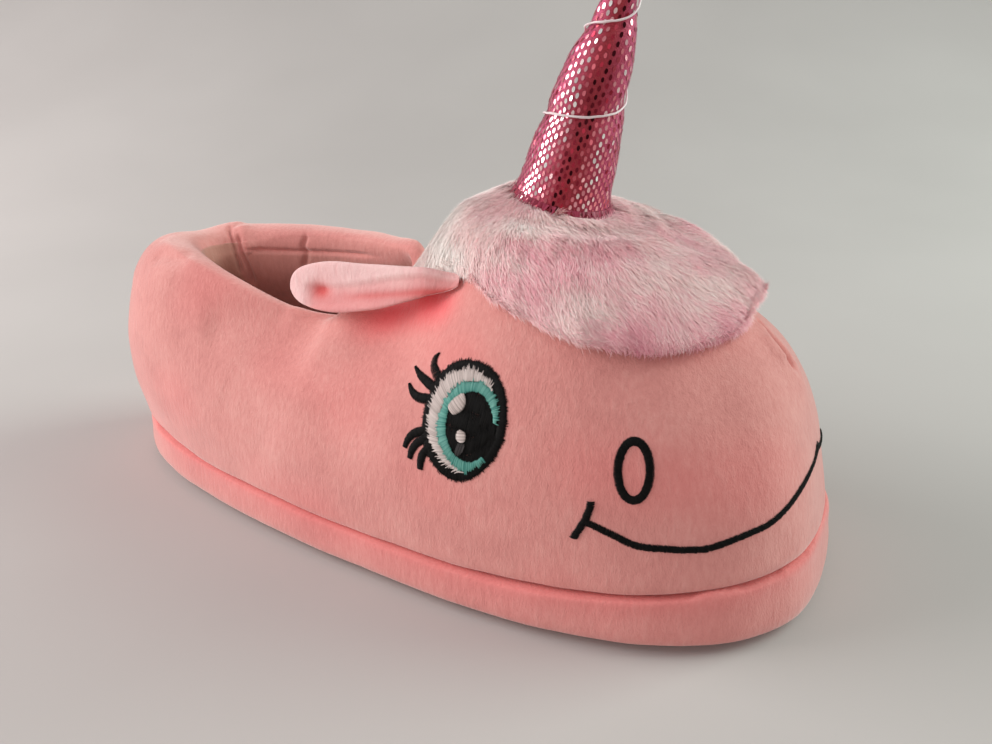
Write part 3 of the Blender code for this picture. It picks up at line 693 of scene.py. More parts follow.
class Cloth:
    """A flat drawing in millimetres laid on the side of the head."""

    def __init__(self, tree, centre, right, up, side):
        flip = np.array([1, side, 1])
        self.tree = tree
        self.centre = mm(centre) * flip
        self.right = unit(np.array(right)) * flip
        self.up = unit(np.array(up)) * flip
        self.out = unit(np.cross(self.right, self.up)) * side

    def place(self, drawn):
        drawn = np.asarray(drawn, float)
        flat = drawn.reshape(-1, 2) * MM
        start = self.centre + flat[:, :1] * self.right + flat[:, 1:] * self.up
        hits, normals = [], []
        for p in start:
            hit = self.tree.ray_cast(Vector(p + CLOTH_RAY * self.out), Vector(-self.out))
            if hit[0] is None:
                hit = self.tree.find_nearest(Vector(p))
            hits.append(hit[0])
            normals.append(hit[1])
        shape = (*drawn.shape[:-1], 3)
        return np.array(hits).reshape(shape), np.array(normals).reshape(shape)


# Strands of thread: width, pitch, cross-section in widths, marks along and the taper there, unevenness
# of height, margins and shifted joints where they fill an outline, and how seldom ends fall far short
STRAND_MM = 0.31
STRAND_PITCH_MM = 0.25
STRAND_SECTION = np.array([(-0.5, -0.35), (-0.26, 0.15), (0.26, 0.15), (0.5, -0.35)])
STRAND_MARKS = np.array([0.0, 0.12, 0.35, 0.65, 0.88, 1.0])
STRAND_TAPER = np.array([0.15, 0.8, 1.0, 1.0, 0.8, 0.15])
STRAND_WOBBLE_MM = 0.05
FILL_MARGIN_MM = (0.15, 0.1)
FILL_SHIFT_MM = 0.8
JAGGED_POWER = 2.2


def strands(path, normal, rise_mm, seat_mm):
    """Thread sections along paths on the cloth, arched over and pointed at both ends."""
    arch = seat_mm + rise_mm * (1 - np.abs(2 * STRAND_MARKS - 1) ** 3)
    wobble = RANDOM.uniform(-STRAND_WOBBLE_MM, STRAND_WOBBLE_MM, (len(path), 1, 1))
    lift = arch[None, :, None] + wobble
    middle = path + normal * lift * MM
    along = unit(np.gradient(middle, axis=1))
    side = unit(np.cross(along, normal))
    section = STRAND_SECTION * STRAND_MM * MM
    width = STRAND_TAPER[None, :, None, None]
    return (middle[:, :, None] + side[:, :, None] * section[None, None, :, :1] * width
            + normal[:, :, None] * section[None, None, :, 1:] * width)


def satin(starts, ends, place, rise_mm=0.35, jagged_mm=(0.35, 0.35), seat_mm=0.1):
    """Strands side by side from the places of one edge to those of the other."""
    starts, ends = np.asarray(starts, float), np.asarray(ends, float)
    way = unit(ends - starts)
    starts = starts - way * RANDOM.uniform(0, 1, (len(starts), 1)) ** JAGGED_POWER * jagged_mm[0]
    ends = ends + way * RANDOM.uniform(0, 1, (len(ends), 1)) ** JAGGED_POWER * jagged_mm[1]
    drawn = lerp(starts[:, None], ends[:, None], STRAND_MARKS[None, :, None])
    path, normal = place(drawn)
    return strands(path, normal, rise_mm, seat_mm)


def pairs(edge_a, edge_b, closed=False):
    """Evenly spaced pairs of places on two edges."""
    if closed:
        edge_a, edge_b = [*edge_a, edge_a[0]], [*edge_b, edge_b[0]]
    length = np.linalg.norm(np.diff(spline(edge_a, 60), axis=0), axis=1).sum()
    count = int(length / STRAND_PITCH_MM)
    return spline(edge_a, count), spline(edge_b, count)


def filled(outline, way, longest_mm=6.0):
    """Pairs that fill an outline with stitches along a way, the long ones in several."""
    outline = spline([*outline, outline[0]], 160)
    way = unit(np.array(way, float))
    side = np.array([-way[1], way[0]])
    u, v = outline @ way, outline @ side
    starts, ends = [], []
    for at in np.arange(v.min() + FILL_MARGIN_MM[0], v.max() - FILL_MARGIN_MM[1], STRAND_PITCH_MM):
        crossed = np.nonzero((v[:-1] - at) * (v[1:] - at) < 0)[0]
        if len(crossed) < 2:
            continue
        step = (at - v[crossed]) / (v[crossed + 1] - v[crossed])
        cuts = u[crossed] + step * (u[crossed + 1] - u[crossed])
        low, high = cuts.min(), cuts.max()
        parts = max(1, int(math.ceil((high - low) / longest_mm)))
        marks = np.linspace(low, high, parts + 1)
        marks[1:-1] += RANDOM.uniform(-FILL_SHIFT_MM, FILL_SHIFT_MM, parts - 1)
        for a, b in zip(marks, marks[1:]):
            starts.append(way * a + side * at)
            ends.append(way * b + side * at)
    return np.array(starts), np.array(ends)


# The eye, drawn in millimetres from its middle: right is towards the nose. The pupil and the ring's
# inner edge follow its outer edge, as shares of it.
EYE_MM = (46.0, -50.4, 63.1)
EYE_RIGHT = (0.996, -0.084, 0.0)
EYE_UP = (0.026, 0.313, 0.949)
PUPIL = (0.86, 0.87)
RING_INNER = (0.80, 0.82)
RING_INNER_SHIFT = (-0.2, -0.1)
RING_OUTER = (
    (-2.1, 17.5), (3.1, 17.4), (7.1, 16.0), (10.5, 12.8), (12.7, 8.9), (13.8, 4.4), (13.8, 0.2),
    (13.2, -3.8), (11.2, -8.6), (8.2, -13.0), (4.4, -16.5), (0.4, -18.6), (-3.4, -18.8),
    (-7.2, -17.5), (-10.4, -14.8), (-12.7, -11.6), (-14.5, -7.6), (-15.4, -4.0), (-15.4, -0.3),
    (-14.9, 3.6), (-13.8, 7.5), (-12.2, 11.0), (-9.6, 13.9), (-6.1, 16.3),
)
WHITE_OUTER = (
    (8.0, 10.5), (5.7, 13.1), (3.3, 14.5), (0.3, 15.0), (-2.6, 14.5), (-5.8, 13.3), (-8.9, 11.0),
    (-11.4, 7.7), (-12.8, 4.1), (-13.1, 0.3), (-12.8, -3.4), (-11.9, -6.9), (-10.1, -10.0),
    (-7.6, -12.5), (-4.5, -14.6), (-1.2, -15.5), (1.9, -15.4),
)
IRIS_EDGE = (
    (3.5, 11.8), (1.0, 11.6), (-1.4, 10.9), (-4.1, 9.3), (-6.3, 6.7), (-7.9, 3.6), (-8.9, 0.6),
    (-9.1, -2.5), (-8.8, -5.6), (-7.6, -8.7), (-5.5, -11.2), (-3.2, -13.2),
)
WHITE_INNER = ((7.7, 10.2), (5.7, 11.3), *IRIS_EDGE, (-0.9, -14.5), (0.5, -15.3), (1.9, -15.4))
TEAL_OUTER = (
    (10.7, 1.4), (11.0, 3.7), (10.4, 6.3), (9.0, 9.0), (6.9, 10.9), *IRIS_EDGE, (-0.6, -14.6),
    (1.9, -15.1), (4.2, -13.6), (6.4, -11.6), (7.7, -9.7),
)
TEAL_INNER = (
    (9.8, 1.6), (9.2, 4.0), (8.0, 6.1), (6.4, 7.7), (4.8, 8.7), (2.6, 9.0), (0.9, 8.8),
    (-1.2, 7.8), (-3.5, 6.1), (-5.0, 4.2), (-6.1, 2.1), (-6.3, -0.1), (-6.3, -1.9), (-6.1, -3.7),
    (-5.6, -5.8), (-4.5, -8.0), (-3.1, -9.9), (-1.6, -11.0), (0.2, -11.7), (3.4, -11.9),
    (5.4, -10.9), (7.1, -9.4),
)
HIGHLIGHT = (
    (-1.2, 7.7), (-0.3, 6.1), (-0.1, 4.4), (-1.1, 2.5), (-2.6, 1.3), (-4.1, 0.8), (-5.8, 1.9),
    (-6.3, 3.3), (-5.5, 4.7), (-3.9, 6.4), (-2.4, 7.4),
)
SMALL_HIGHLIGHT = (
    (-0.5, -2.9), (1.0, -3.5), (1.4, -4.8), (1.0, -6.2), (-0.3, -6.7), (-1.7, -6.3), (-2.1, -5.0),
    (-1.7, -3.6),
)
GREY_PATCH = ((-1.2, -6.9), (1.1, -6.7), (0.7, -9.3), (-1.0, -11.2), (-2.0, -10.1))

# Columns: thread, outline, way of its stitches, and their rise, ragged ends and seat in millimetres
EYE_PATCHES = (
    ("white", HIGHLIGHT, (-0.8, 0.6), 0.3, 0.15, 0.65),
    ("white", SMALL_HIGHLIGHT, (1.0, 0.2), 0.3, 0.15, 0.6),
    ("grey", GREY_PATCH, (0.3, 1.0), 0.15, 0.1, 0.5),
)

# Lashes. Columns: widths from the tip to the root in millimetres; the middle line.
LASHES = (
    ((0.5, 2.5, 3.3, 3.9, 4.2),
     ((-14.5, 17.1), (-15.8, 15.0), (-15.7, 12.9), (-13.8, 10.9), (-11.5, 9.3))),
    ((0.9, 2.6, 3.3, 3.6), ((-23.6, 11.0), (-20.6, 9.2), (-17.1, 7.9), (-12.8, 6.6))),
    ((1.0, 2.7, 3.2, 3.4), ((-24.1, 5.7), (-21.8, 3.7), (-18.8, 2.7), (-14.2, 3.1))),
    ((1.9, 2.7, 3.0, 2.8), ((-20.6, -13.1), (-19.9, -10.8), (-18.1, -8.4), (-13.6, -6.0))),
    ((2.0, 2.8, 2.9, 2.8), ((-18.2, -16.0), (-17.8, -13.5), (-16.2, -10.8), (-12.6, -8.2))),
    ((2.2, 2.9, 3.0, 2.8), ((-14.1, -18.4), (-14.1, -15.8), (-13.3, -13.3), (-10.6, -10.2))),
)

# The nostril and the mouth, in millimetres: the ring's half sizes, widths of the strokes, and along the
# mouth the shares of its width at shares of its length
NOSTRIL_MM = (96.6, -48.1, 56.8)
NOSTRIL_RIGHT = (0.948, 0.319, 0.0)
NOSTRIL_UP = (-0.079, 0.233, 0.969)
NOSTRIL_HALF = (4.3, 8.3)
NOSTRIL_STROKE = 2.5
NOSTRIL_LEAN = 0.03
NOSTRIL_PAIRS = 190
MOUTH_STROKE = 2.2
MOUTH_TAPER = ((0.0, 0.80, 0.94, 0.97, 1.0), (1.0, 0.85, 0.5, 0.8, 1.1))
STROKE_RAGGED_MM = (-0.08, 0.22)
STROKE_LEAN = 0.35
MOUTH = (
    (84.8, -53.9, 41.0), (91.9, -52.8, 38.3), (99.2, -51.3, 35.4), (107.2, -48.5, 34.9),
    (111.4, -46.7, 34.7), (117.1, -43.5, 35.0), (125.2, -37.0, 37.7), (130.5, -31.0, 39.5),
    (134.9, -22.1, 43.2), (136.8, -12.5, 46.2), (137.9, -2.5, 48.0), (138.2, 0.0, 49.5),
)
MOUTH_TICK = ((86.2, -52.7, 47.1), (85.1, -53.7, 42.2), (81.8, -55.1, 35.4))


def stroke_on(tree, through_mm, width_mm, side, taper=None):
    """Satin strands across a line that runs over the surface, given in space."""
    flip = np.array([1, side, 1])
    middle = spline(mm(through_mm), 200)
    count = int(np.linalg.norm(np.diff(middle, axis=0), axis=1).sum() / (STRAND_PITCH_MM * MM))
    middle = spline(mm(through_mm), count) * flip
    centre, normal = on_surface(tree, middle)
    along = unit(np.gradient(centre, axis=0))
    side_way = unit(np.cross(along, normal))
    half = np.full(count, width_mm / 2)
    if taper is not None:
        half = half * np.interp(np.linspace(0, 1, count), *taper)
    lean = STROKE_LEAN * (width_mm / 2) * MM
    ends = []
    for sign in (-1, 1):
        reach = half + RANDOM.uniform(*STROKE_RAGGED_MM, count)
        ends.append(centre + sign * (side_way * reach[:, None] * MM + along * lean))
    path = lerp(ends[0][:, None], ends[1][:, None], STRAND_MARKS[None, :, None])
    hits, normals = on_surface(tree, path.reshape(-1, 3))
    return strands(hits.reshape(path.shape), normals.reshape(path.shape), 0.45, 0.1)


def sew_eye(place, sewn):
    """The eye from its ground up: pupil, ring, white, iris, highlights and lashes."""
    pupil = np.array(RING_OUTER) * PUPIL
    ring_inner = np.array(RING_OUTER) * RING_INNER + RING_INNER_SHIFT
    cover = filled(pupil, (0.15, 1.0), 7.0)
    ground = filled(pupil, (1.0, 0.1), 9.0)
    # Columns: thread, edges, and in millimetres rise, ragged starts and ends, seat
    for thread, edges, rise, ragged, seat in (
        ("black", ground, 0.05, (0.5, 0.5), 0.08),
        ("black", cover, 0.15, (0.8, 0.8), 0.18),
        ("black", pairs(RING_OUTER, ring_inner, closed=True), 0.3, (0.8, 0.2), 0.15),
        ("white", pairs(WHITE_OUTER, WHITE_INNER), 0.25, (2.0, 0.2), 0.35),
        ("teal", pairs(TEAL_OUTER, TEAL_INNER), 0.25, (1.4, 0.4), 0.50),
    ):
        sewn[thread].append(satin(*edges, place, rise, ragged, seat))
    for thread, outline, way, rise, ragged, seat in EYE_PATCHES:
        sewn[thread].append(satin(*filled(outline, way), place, rise, (ragged, ragged), seat))
    for widths, middle in LASHES:
        line = spline(middle, 48)
        along = unit(np.gradient(line, axis=0))
        across = np.stack([-along[:, 1], along[:, 0]], 1)
        half = np.interp(np.linspace(0, 1, len(line)), np.linspace(0, 1, len(widths)), widths) / 2
        left, right = line + across * half[:, None], line - across * half[:, None]
        sewn["black"].append(satin(*pairs(left, right), place, 0.4, (0.15, 0.15)))


def nostril_edges():
    """The outer and inner edge of the nostril's ring."""
    turn = np.linspace(0, 2 * math.pi, NOSTRIL_PAIRS, endpoint=False)
    edges = []
    for grow in (NOSTRIL_STROKE / 2, -NOSTRIL_STROKE / 2):
        across = (NOSTRIL_HALF[0] + grow) * np.cos(turn) - NOSTRIL_LEAN * np.sin(turn)
        edges.append(np.stack([across, (NOSTRIL_HALF[1] + grow) * np.sin(turn)], 1))
    return edges


def embroider(tree):
    """Both eyes, nostrils and the mouth in raised satin stitch."""
    sewn = {thread: [] for thread in THREADS}
    for side in (1, -1):
        sew_eye(Cloth(tree, EYE_MM, EYE_RIGHT, EYE_UP, side).place, sewn)
        nostril = Cloth(tree, NOSTRIL_MM, NOSTRIL_RIGHT, NOSTRIL_UP, side)
        sewn["black"].append(satin(*nostril_edges(), nostril.place, 0.4, (0.2, 0.2)))
        sewn["black"].append(stroke_on(tree, MOUTH, MOUTH_STROKE, side, MOUTH_TAPER))
        sewn["black"].append(stroke_on(tree, MOUTH_TICK, MOUTH_STROKE, side))
    for thread, rows in sewn.items():
        rows = np.concatenate(rows)
        mesh = strand_mesh(f"stitches_{thread}", rows, RANDOM.uniform(0, 1, len(rows)))
        add_object(f"stitches_{thread}", mesh, THREADS[thread])


# How the fur form differs from the model's forelock. Columns: way that the surface faces, how
# far it swells there in millimetres, and the cosine at which that starts.
FUR_SWELLS = (
    ((-0.73, 0.0, 0.67), 1.6, 0.45), ((0.62, 0.58, 0.53), 4.0, 0.80), ((0.3, -0.5, 0.8), 0.8, 0.45),
    ((0.80, -0.2, 0.50), 1.5, 0.60),
)
FULL_SWELL = 0.97
FUR_SMOOTHINGS = 12

# Round the horn the fur doesn't swell but is raised, and then drawn in to the horn's cloth
RAISED_MM = 1.4
GRIP_RADIUS_MM = 14.8
GRIP_HEIGHT_MM = 8.8

# The hem on the near side hangs lower behind the eye, most of all at a notch, and slides down the
# head in front
HEM_DROP_MM = 2.0
HEM_DROP_WAY = (-0.30, -0.50, -0.80)
HEM_NOTCH_MM = (40, -29, 101)
HEM_NOTCH_DROP_MM = 4.5
HEM_NOTCH_REACH_MM = 8.0
HEM_SLIDE_MM = 2.6


def hem_shift(points):
    """How far each point moves with the hem of the near side."""
    x, y, z = points.T
    reach = np.linalg.norm(points - mm(HORN_FOOT_MM), axis=1)
    low = above(reach, 26, 12) * below(y, 0, 15) * below(x, 74, 25)
    notch = np.linalg.norm(points - mm(HEM_NOTCH_MM), axis=1)
    drop = (HEM_DROP_MM * low + HEM_NOTCH_DROP_MM * bell(notch, HEM_NOTCH_REACH_MM * MM)) * MM
    from_head = unit(points - mm(HEAD_MM))
    sliding = unit(np.array([0.0, 0.0, -1.0]) + from_head[:, 2:] * from_head)
    front = above(x, 62, 16) * below(y, 0, 16) * below(z, 104, 10)
    return drop[:, None] * unit(np.array(HEM_DROP_WAY)) + (HEM_SLIDE_MM * MM * front)[:, None] * sliding


def fur_form():
    """The forelock's form with its locks softened, drawn up against the horn."""
    mesh = fine_copy("forelock", 1)
    smoother = bmesh.new()
    smoother.from_mesh(mesh)
    for _ in range(FUR_SMOOTHINGS):
        bmesh.ops.smooth_vert(smoother, verts=smoother.verts, factor=0.5, use_axis_x=True,
                              use_axis_y=True, use_axis_z=True)
    smoother.to_mesh(mesh)
    smoother.free()
    points, normals = points_of(mesh), normals_of(mesh)
    axis, radius = from_horn(points)
    moved = points.copy()
    for way, swell, start in FUR_SWELLS:
        facing = smooth((normals @ unit(np.array(way)) - start) / (FULL_SWELL - start))
        moved += (swell * MM * facing * above(radius, 22, 8))[:, None] * normals
    moved += (RAISED_MM * MM * below(radius, 36, 10))[:, None] * horn_way()
    grip = horn_way() * GRIP_HEIGHT_MM * MM + unit(points - axis) * GRIP_RADIUS_MM * MM
    grip += mm(HORN_FOOT_MM)
    moved = lerp(moved, grip, below(radius, 24.5, 4)[:, None])
    set_points(mesh, moved + hem_shift(points))
    return mesh


def horn_way():
    return np.array([math.sin(HORN_LEAN), 0.0, math.cos(HORN_LEAN)])


def from_horn(points):
    """The nearest place on the horn's axis to each point, and how far it is."""
    foot = mm(HORN_FOOT_MM)
    axis = foot + ((points - foot) @ horn_way())[:, None] * horn_way()
    return axis, np.linalg.norm(points - axis, axis=1)


# Tone of the fur: its mean, what it gains towards the back (partly its own tone, partly painted light on
# the side the window lights) and loses at the hem, and how much darker its ground is painted, as shade
# under the hairs
FUR_TONE = 0.52
FUR_BACK_TONE_AND_LIGHT = 0.42
FUR_HEM_LOSS = 0.20
GROUND_PAINTED_SHADE = 0.15


def fur_shade(points):
    """Patchy tone of the fur from 0 to 1: pinker at the hem, and paler towards the back, partly its own
    tone and partly painted light on the window's side.
    """
    tone = FUR_TONE + 0.15 * waves(points, 0.034, 44) + 0.08 * waves(points, 0.012, 45)
    # Paler towards the back: partly the fur's own tone, partly painted light where the window lights it
    tone += FUR_BACK_TONE_AND_LIGHT * below(points[:, 0], 60, 45)
    return tone - FUR_HEM_LOSS * below(points[:, 2], 92, 8)


# Hairs: pieces, hairs in each, lengths, marks along a hair and its widths there, depth of its root,
# lift of its tip in lengths, sideways curl and unevenness of tone
FUR_PIECES = 4
FUR_STRANDS = 39000
FUR_LENGTH_MM = (3.2, 5.4)
FUR_MARKS = (0.0, 0.5, 1.0)
FUR_WIDTHS_MM = (0.22, 0.20, 0.04)
FUR_DEEP_MM = 0.9
FUR_LIFT = (0.12, 0.30)
FUR_LIFT_WAVE = 0.05
FUR_CURL = 0.14
FUR_UNEVEN = 0.10

# The ground lies below the hairs, deeper at the hem, but not against the horn
GROUND_SUNK_MM = (1.0, 0.6)
HORN_CLEAR_MM = (16.5, 4)

# Hairs grow only outside this distance from the horn's axis, within the next one only where the form
# isn't folded, and nowhere inside it
BARE_MM = 15.7
FOLDS_WITHIN_MM = 22
LEVEL_LEAST = 0.35
OUTWARD_LEAST = -0.35

# Way of the hairs: away from the horn, and somewhat forward and down; how much it swirls and strays
COMB = (0.45, 0.0, -0.35)
COMB_SWIRL = 0.30
COMB_STRAY = 0.16

# At the hem hairs are ruffled, shorter, raised, curlier and more uneven in tone
HEM_RUFFLE = 0.55
HEM_SHORTER = 0.35
HEM_LIFT = 0.18
HEM_CURLIER = 3.0
HEM_UNEVEN = 1.2


def hair_faces(mesh, points, normals):
    """The quads that hairs grow from: none inside the form, at the horn or in its folds."""
    faces = np.array([f.vertices[:] for f in mesh.polygons if len(f.vertices) == 4])
    from_head = unit(points[faces].mean(1) - mm(HEAD_MM))
    outer = (normals[faces].mean(1) * from_head).sum(1) > OUTWARD_LEAST
    radius = from_horn(points)[1][faces].mean(1)
    level = (normals[faces] @ horn_way()).min(1) >= LEVEL_LEAST
    return faces[outer & (radius > BARE_MM * MM) & ((radius >= FOLDS_WITHIN_MM * MM) | level)]


def over_quads(values, a, b):
    """Values between the corners of quads, at shares a and b of their sides."""
    return lerp(lerp(values[:, 0], values[:, 1], a), lerp(values[:, 3], values[:, 2], a), b)


def flat(way, normal):
    """The part of a way that runs along the surface."""
    return unit(way - normal * (way * normal).sum(1)[:, None])


def hairs(root, normal, hem):
    """Cross-sections of hairs that are combed over the surface, shorter and curlier at the hem."""
    count = len(root)
    away = unit((root - mm(HORN_FOOT_MM)) * [1, 1, 0]) + COMB
    swirl = COMB_SWIRL * waves(root, 0.032, 41)[:, None] + RANDOM.normal(0, COMB_STRAY, (count, 1))
    way = flat(away + np.cross(normal, away) * swirl, normal)
    way = flat(unit(way + hem * RANDOM.normal(0, HEM_RUFFLE, (count, 3))), normal)
    length = RANDOM.uniform(*FUR_LENGTH_MM, (count, 1)) * MM * (1 - HEM_SHORTER * hem)
    lift = RANDOM.uniform(*FUR_LIFT, (count, 1)) + FUR_LIFT_WAVE * waves(root, 0.010, 42)[:, None]
    lift = lift + HEM_LIFT * hem
    curl = RANDOM.normal(0, FUR_CURL, (count, 1)) * (1 + HEM_CURLIER * hem)
    deep = FUR_DEEP_MM * MM * above(from_horn(root)[1], *HORN_CLEAR_MM)[:, None]
    side = np.cross(way, normal)
    rows = []
    for t, width in zip(FUR_MARKS, FUR_WIDTHS_MM):
        middle = (root - normal * deep + way * length * t * (1 - HEM_SHORTER * hem * t)
                  + normal * length * (lift * 2.2 * t - lift * 1.2 * t * t)
                  + side * length * curl * t * t)
        rows.append(np.stack([middle - side * width * MM / 2, middle + side * width * MM / 2], 1))
    return np.stack(rows, 1)


def grow_fur():
    """The fur's ground, and hairs combed away from the horn and down to the hem."""
    mesh = fur_form()
    points, normals = points_of(mesh), normals_of(mesh)
    ground = mesh.copy()
    sunk = GROUND_SUNK_MM[0] + GROUND_SUNK_MM[1] * below(points[:, 2], 89.5, 6)
    sunk = sunk * above(from_horn(points)[1], *HORN_CLEAR_MM)
    set_points(ground, points - normals * sunk[:, None] * MM)
    # The ground is painted darker, as shade under the hairs
    set_values(ground, "shade", fur_shade(points) - GROUND_PAINTED_SHADE)
    add_object("fur_ground", ground, FUR, ("forelock",))
    faces = hair_faces(mesh, points, normals)
    corners = points[faces]
    area = np.linalg.norm(np.cross(corners[:, 2] - corners[:, 0], corners[:, 3] - corners[:, 1]), axis=1)
    for piece in range(FUR_PIECES):
        chosen = RANDOM.choice(len(faces), FUR_STRANDS, p=area / area.sum())
        a, b = RANDOM.uniform(0, 1, (2, FUR_STRANDS, 1))
        root = over_quads(corners[chosen], a, b)
        normal = unit(over_quads(normals[faces[chosen]], a, b))
        hem = below(root[:, 2], 91.5, 5)[:, None]
        rows = hairs(root, normal, hem)
        shade = fur_shade(root) + RANDOM.normal(0, FUR_UNEVEN, FUR_STRANDS) * (1 + HEM_UNEVEN * hem[:, 0])
        made = strand_mesh(f"fur_{piece}", rows, np.clip(shade, 0, 1))
        add_object(f"fur_{piece}", made, FUR)


# The horn's cloth: its unevenness in the columns of hills, and the front towards the camera, painted
# deeper red as shade beside the painted magenta sheen of the flanks
HORN_HILLS = ((0.25, 0.012, 51),)
SHADED_FRONT_BEARING = -66
SHADED_FRONT_WIDTH = 38

# Foil dots: half sizes, unevenness of size and tilt, height over the cloth, pitch in a row and
# between rows. The rows lie on a flat sector of cloth, rolled up to a cone of this radius with its
# middle at this bearing, over an axis that starts above the cloth's foot and bends back.
DOT_MM = (0.50, 0.82)
DOT_SIZES = (0.92, 1.06)
DOT_TILT = 0.09
DOT_RISE_MM = 0.14
DOT_PITCH_MM = 2.45
DOT_ROW_MM = 1.25
CONE_RADIUS_MM = 16.0
CONE_BEARING = math.radians(-78)
CONE_REACH = 1.02
CONE_FOOT_MM = 4.0
CONE_BEND_MM = 2.1
CONE_STEPS = 78

# Bare cloth at the tip and at the foot, and the least radius that holds a dot
BARE_TIP_MM = 4.0
BARE_FOOT_MM = 3.5
LEAST_RADIUS_MM = 0.8

# Painted glints and painted dark reflections on the foil, in bands, and their turn with height. Columns:
# bearing round the horn and width, in degrees; gain in brightness.
FOIL_GLINT_BANDS = ((-106, 15, 0.42), (-66, 14, -0.50), (-36, 12, 0.30))
FOIL_SHIFT_PER_MM = 0.5
FOIL_LEVEL_MM = 135
FOIL_TONE = 0.50
FOIL_SPREAD = 0.16


def dot_places(tree, points):
    """Places of the foil dots in staggered rows, with the cloth's normal and the way up the horn."""
    low = points[:, 2].min()
    foot = np.array([HORN_FOOT_MM[0] * MM, 0.0, low + CONE_FOOT_MM * MM])
    tip = points[np.argmax(points[:, 2])]
    bend = lerp(foot, tip, 0.5) - np.array([CONE_BEND_MM * MM, 0, 0])
    axis = spline([foot, bend, tip], CONE_STEPS + 2)
    length = np.linalg.norm(np.diff(axis, axis=0), axis=1).sum()
    spread = CONE_RADIUS_MM * MM / length
    reach = length * CONE_REACH
    pitch = DOT_PITCH_MM * MM
    places = []
    for i, y in enumerate(np.arange(-reach, reach, DOT_ROW_MM * MM)):
        for x in np.arange(-reach, reach, pitch) + (i % 2) * pitch / 2:
            rho, phi = math.hypot(x, y), math.atan2(x, y)
            if rho < BARE_TIP_MM * MM or rho > reach or abs(phi) > math.pi * spread:
                continue
            at = (1 - rho / reach) * CONE_STEPS
            k = min(int(at), CONE_STEPS - 1)
            middle = lerp(axis[k], axis[k + 1], at - k)
            along = unit(axis[k + 1] - axis[k])
            first = unit(np.cross([0, 1, 0], along))
            angle = phi / spread + CONE_BEARING
            out = first * math.cos(angle) + np.array([0, 1, 0]) * math.sin(angle)
            hit, normal = tree.ray_cast(Vector(middle + out * HORN_RAY), Vector(-out), HORN_RAY)[:2]
            if hit is None or (np.array(hit) - middle) @ out < LEAST_RADIUS_MM * MM:
                continue
            if hit[2] > low + BARE_FOOT_MM * MM:
                places.append((np.array(hit), np.array(normal), along))
    return places


# Brightness of a dot: a mean tone, with painted glints and painted dark reflections in bands round the
# horn
def foil_tone_and_glints(place, normal):
    bearing = math.degrees(math.atan2(normal[1], normal[0]))
    bearing -= FOIL_SHIFT_PER_MM * (place[2] / MM - FOIL_LEVEL_MM)
    return FOIL_TONE + sum(gain * bell(bearing - at, wide) for at, wide, gain in FOIL_GLINT_BANDS)


def shape_horn():
    """Horn cloth, its foil dots and the cut threads of its hem."""
    mesh = fine_copy("horn", 2)
    points, normals = points_of(mesh), normals_of(mesh)
    set_points(mesh, points + hills(points, HORN_HILLS)[:, None] * normals)
    # Where the cloth faces the camera it takes the painted shade of the front
    bearing = np.degrees(np.arctan2(normals[:, 1], normals[:, 0]))
    set_values(mesh, "front", bell(bearing - SHADED_FRONT_BEARING, SHADED_FRONT_WIDTH))
    made = add_object("horn_cloth", mesh, HORN_CLOTH, ("horn",))
    tree = tree_of(mesh)
    turn = np.linspace(0, 2 * math.pi, 9)[:-1]
    verts, faces, shades = [], [], []
    for place, normal, along in dot_places(tree, points):
        tilted = unit(normal + RANDOM.normal(0, DOT_TILT, 3))
        along = unit(along - tilted * (along @ tilted))
        side = np.cross(along, tilted)
        size = RANDOM.uniform(*DOT_SIZES) * MM
        faces.append(range(len(verts), len(verts) + len(turn)))
        for a in turn:
            corner = DOT_MM[0] * math.cos(a) * side + DOT_MM[1] * math.sin(a) * along
            verts.append(place + normal * DOT_RISE_MM * MM + size * corner)
        # Each dot's colour carries painted glints and dark reflections, with random unevenness
        tone = RANDOM.normal(foil_tone_and_glints(place, normal), FOIL_SPREAD)
        shades += [min(max(tone, 0), 1)] * len(turn)
    foil = bpy.data.meshes.new("foil_dots")
    foil.from_pydata([tuple(v) for v in verts], [], faces)
    set_values(foil, "shade", shades)
    add_object("foil_dots", foil, FOIL)
    grow_fringe(tree)


# Cut threads of the horn's hem: how many, height of the hem up the horn's axis, start out from the
# cloth and up, length, spread outwards and lean aside, and half widths at shares of the length
FRINGE_THREADS = 130
HEM_ABOVE_FOOT_MM = 9.4
FRINGE_START_MM = (0.15, 1.2)
FRINGE_LENGTH_MM = (2.2, 3.4)
FRINGE_SPREAD = (0.45, 0.95)
FRINGE_LEAN = 0.25
FRINGE_HALF_MM = ((0.0, 0.34), (0.55, 0.26), (1.0, 0.05))


def grow_fringe(tree):
    """Cut threads of the horn's hem, that stick out over the fur."""
    foot = mm(HORN_FOOT_MM) + horn_way() * HEM_ABOVE_FOOT_MM * MM
    first = np.array([math.cos(HORN_LEAN), 0.0, -math.sin(HORN_LEAN)])
    rows = []
    for angle in np.linspace(0, 2 * math.pi, FRINGE_THREADS, endpoint=False):
        out = first * math.cos(angle) + np.array([0.0, 1.0, 0.0]) * math.sin(angle)
        hit = tree.ray_cast(Vector(foot + out * HORN_RAY), Vector(-out), HORN_RAY)[0]
        if hit is None:
            continue
        across = np.cross(horn_way(), out)
        spread = out * RANDOM.uniform(*FRINGE_SPREAD) + across * RANDOM.normal(0, FRINGE_LEAN)
        down = unit(spread - horn_way())
        start = np.array(hit) + (out * FRINGE_START_MM[0] + horn_way() * FRINGE_START_MM[1]) * MM
        length = RANDOM.uniform(*FRINGE_LENGTH_MM) * MM
        middles = [(start + down * length * t, across * half * MM) for t, half in FRINGE_HALF_MM]
        rows.append([[middle - half, middle + half] for middle, half in middles])
    fringe = strand_mesh("horn_fringe", np.array(rows), RANDOM.uniform(0, 0.8, len(rows)))
    add_object("horn_fringe", fringe, FRINGE_THREAD)


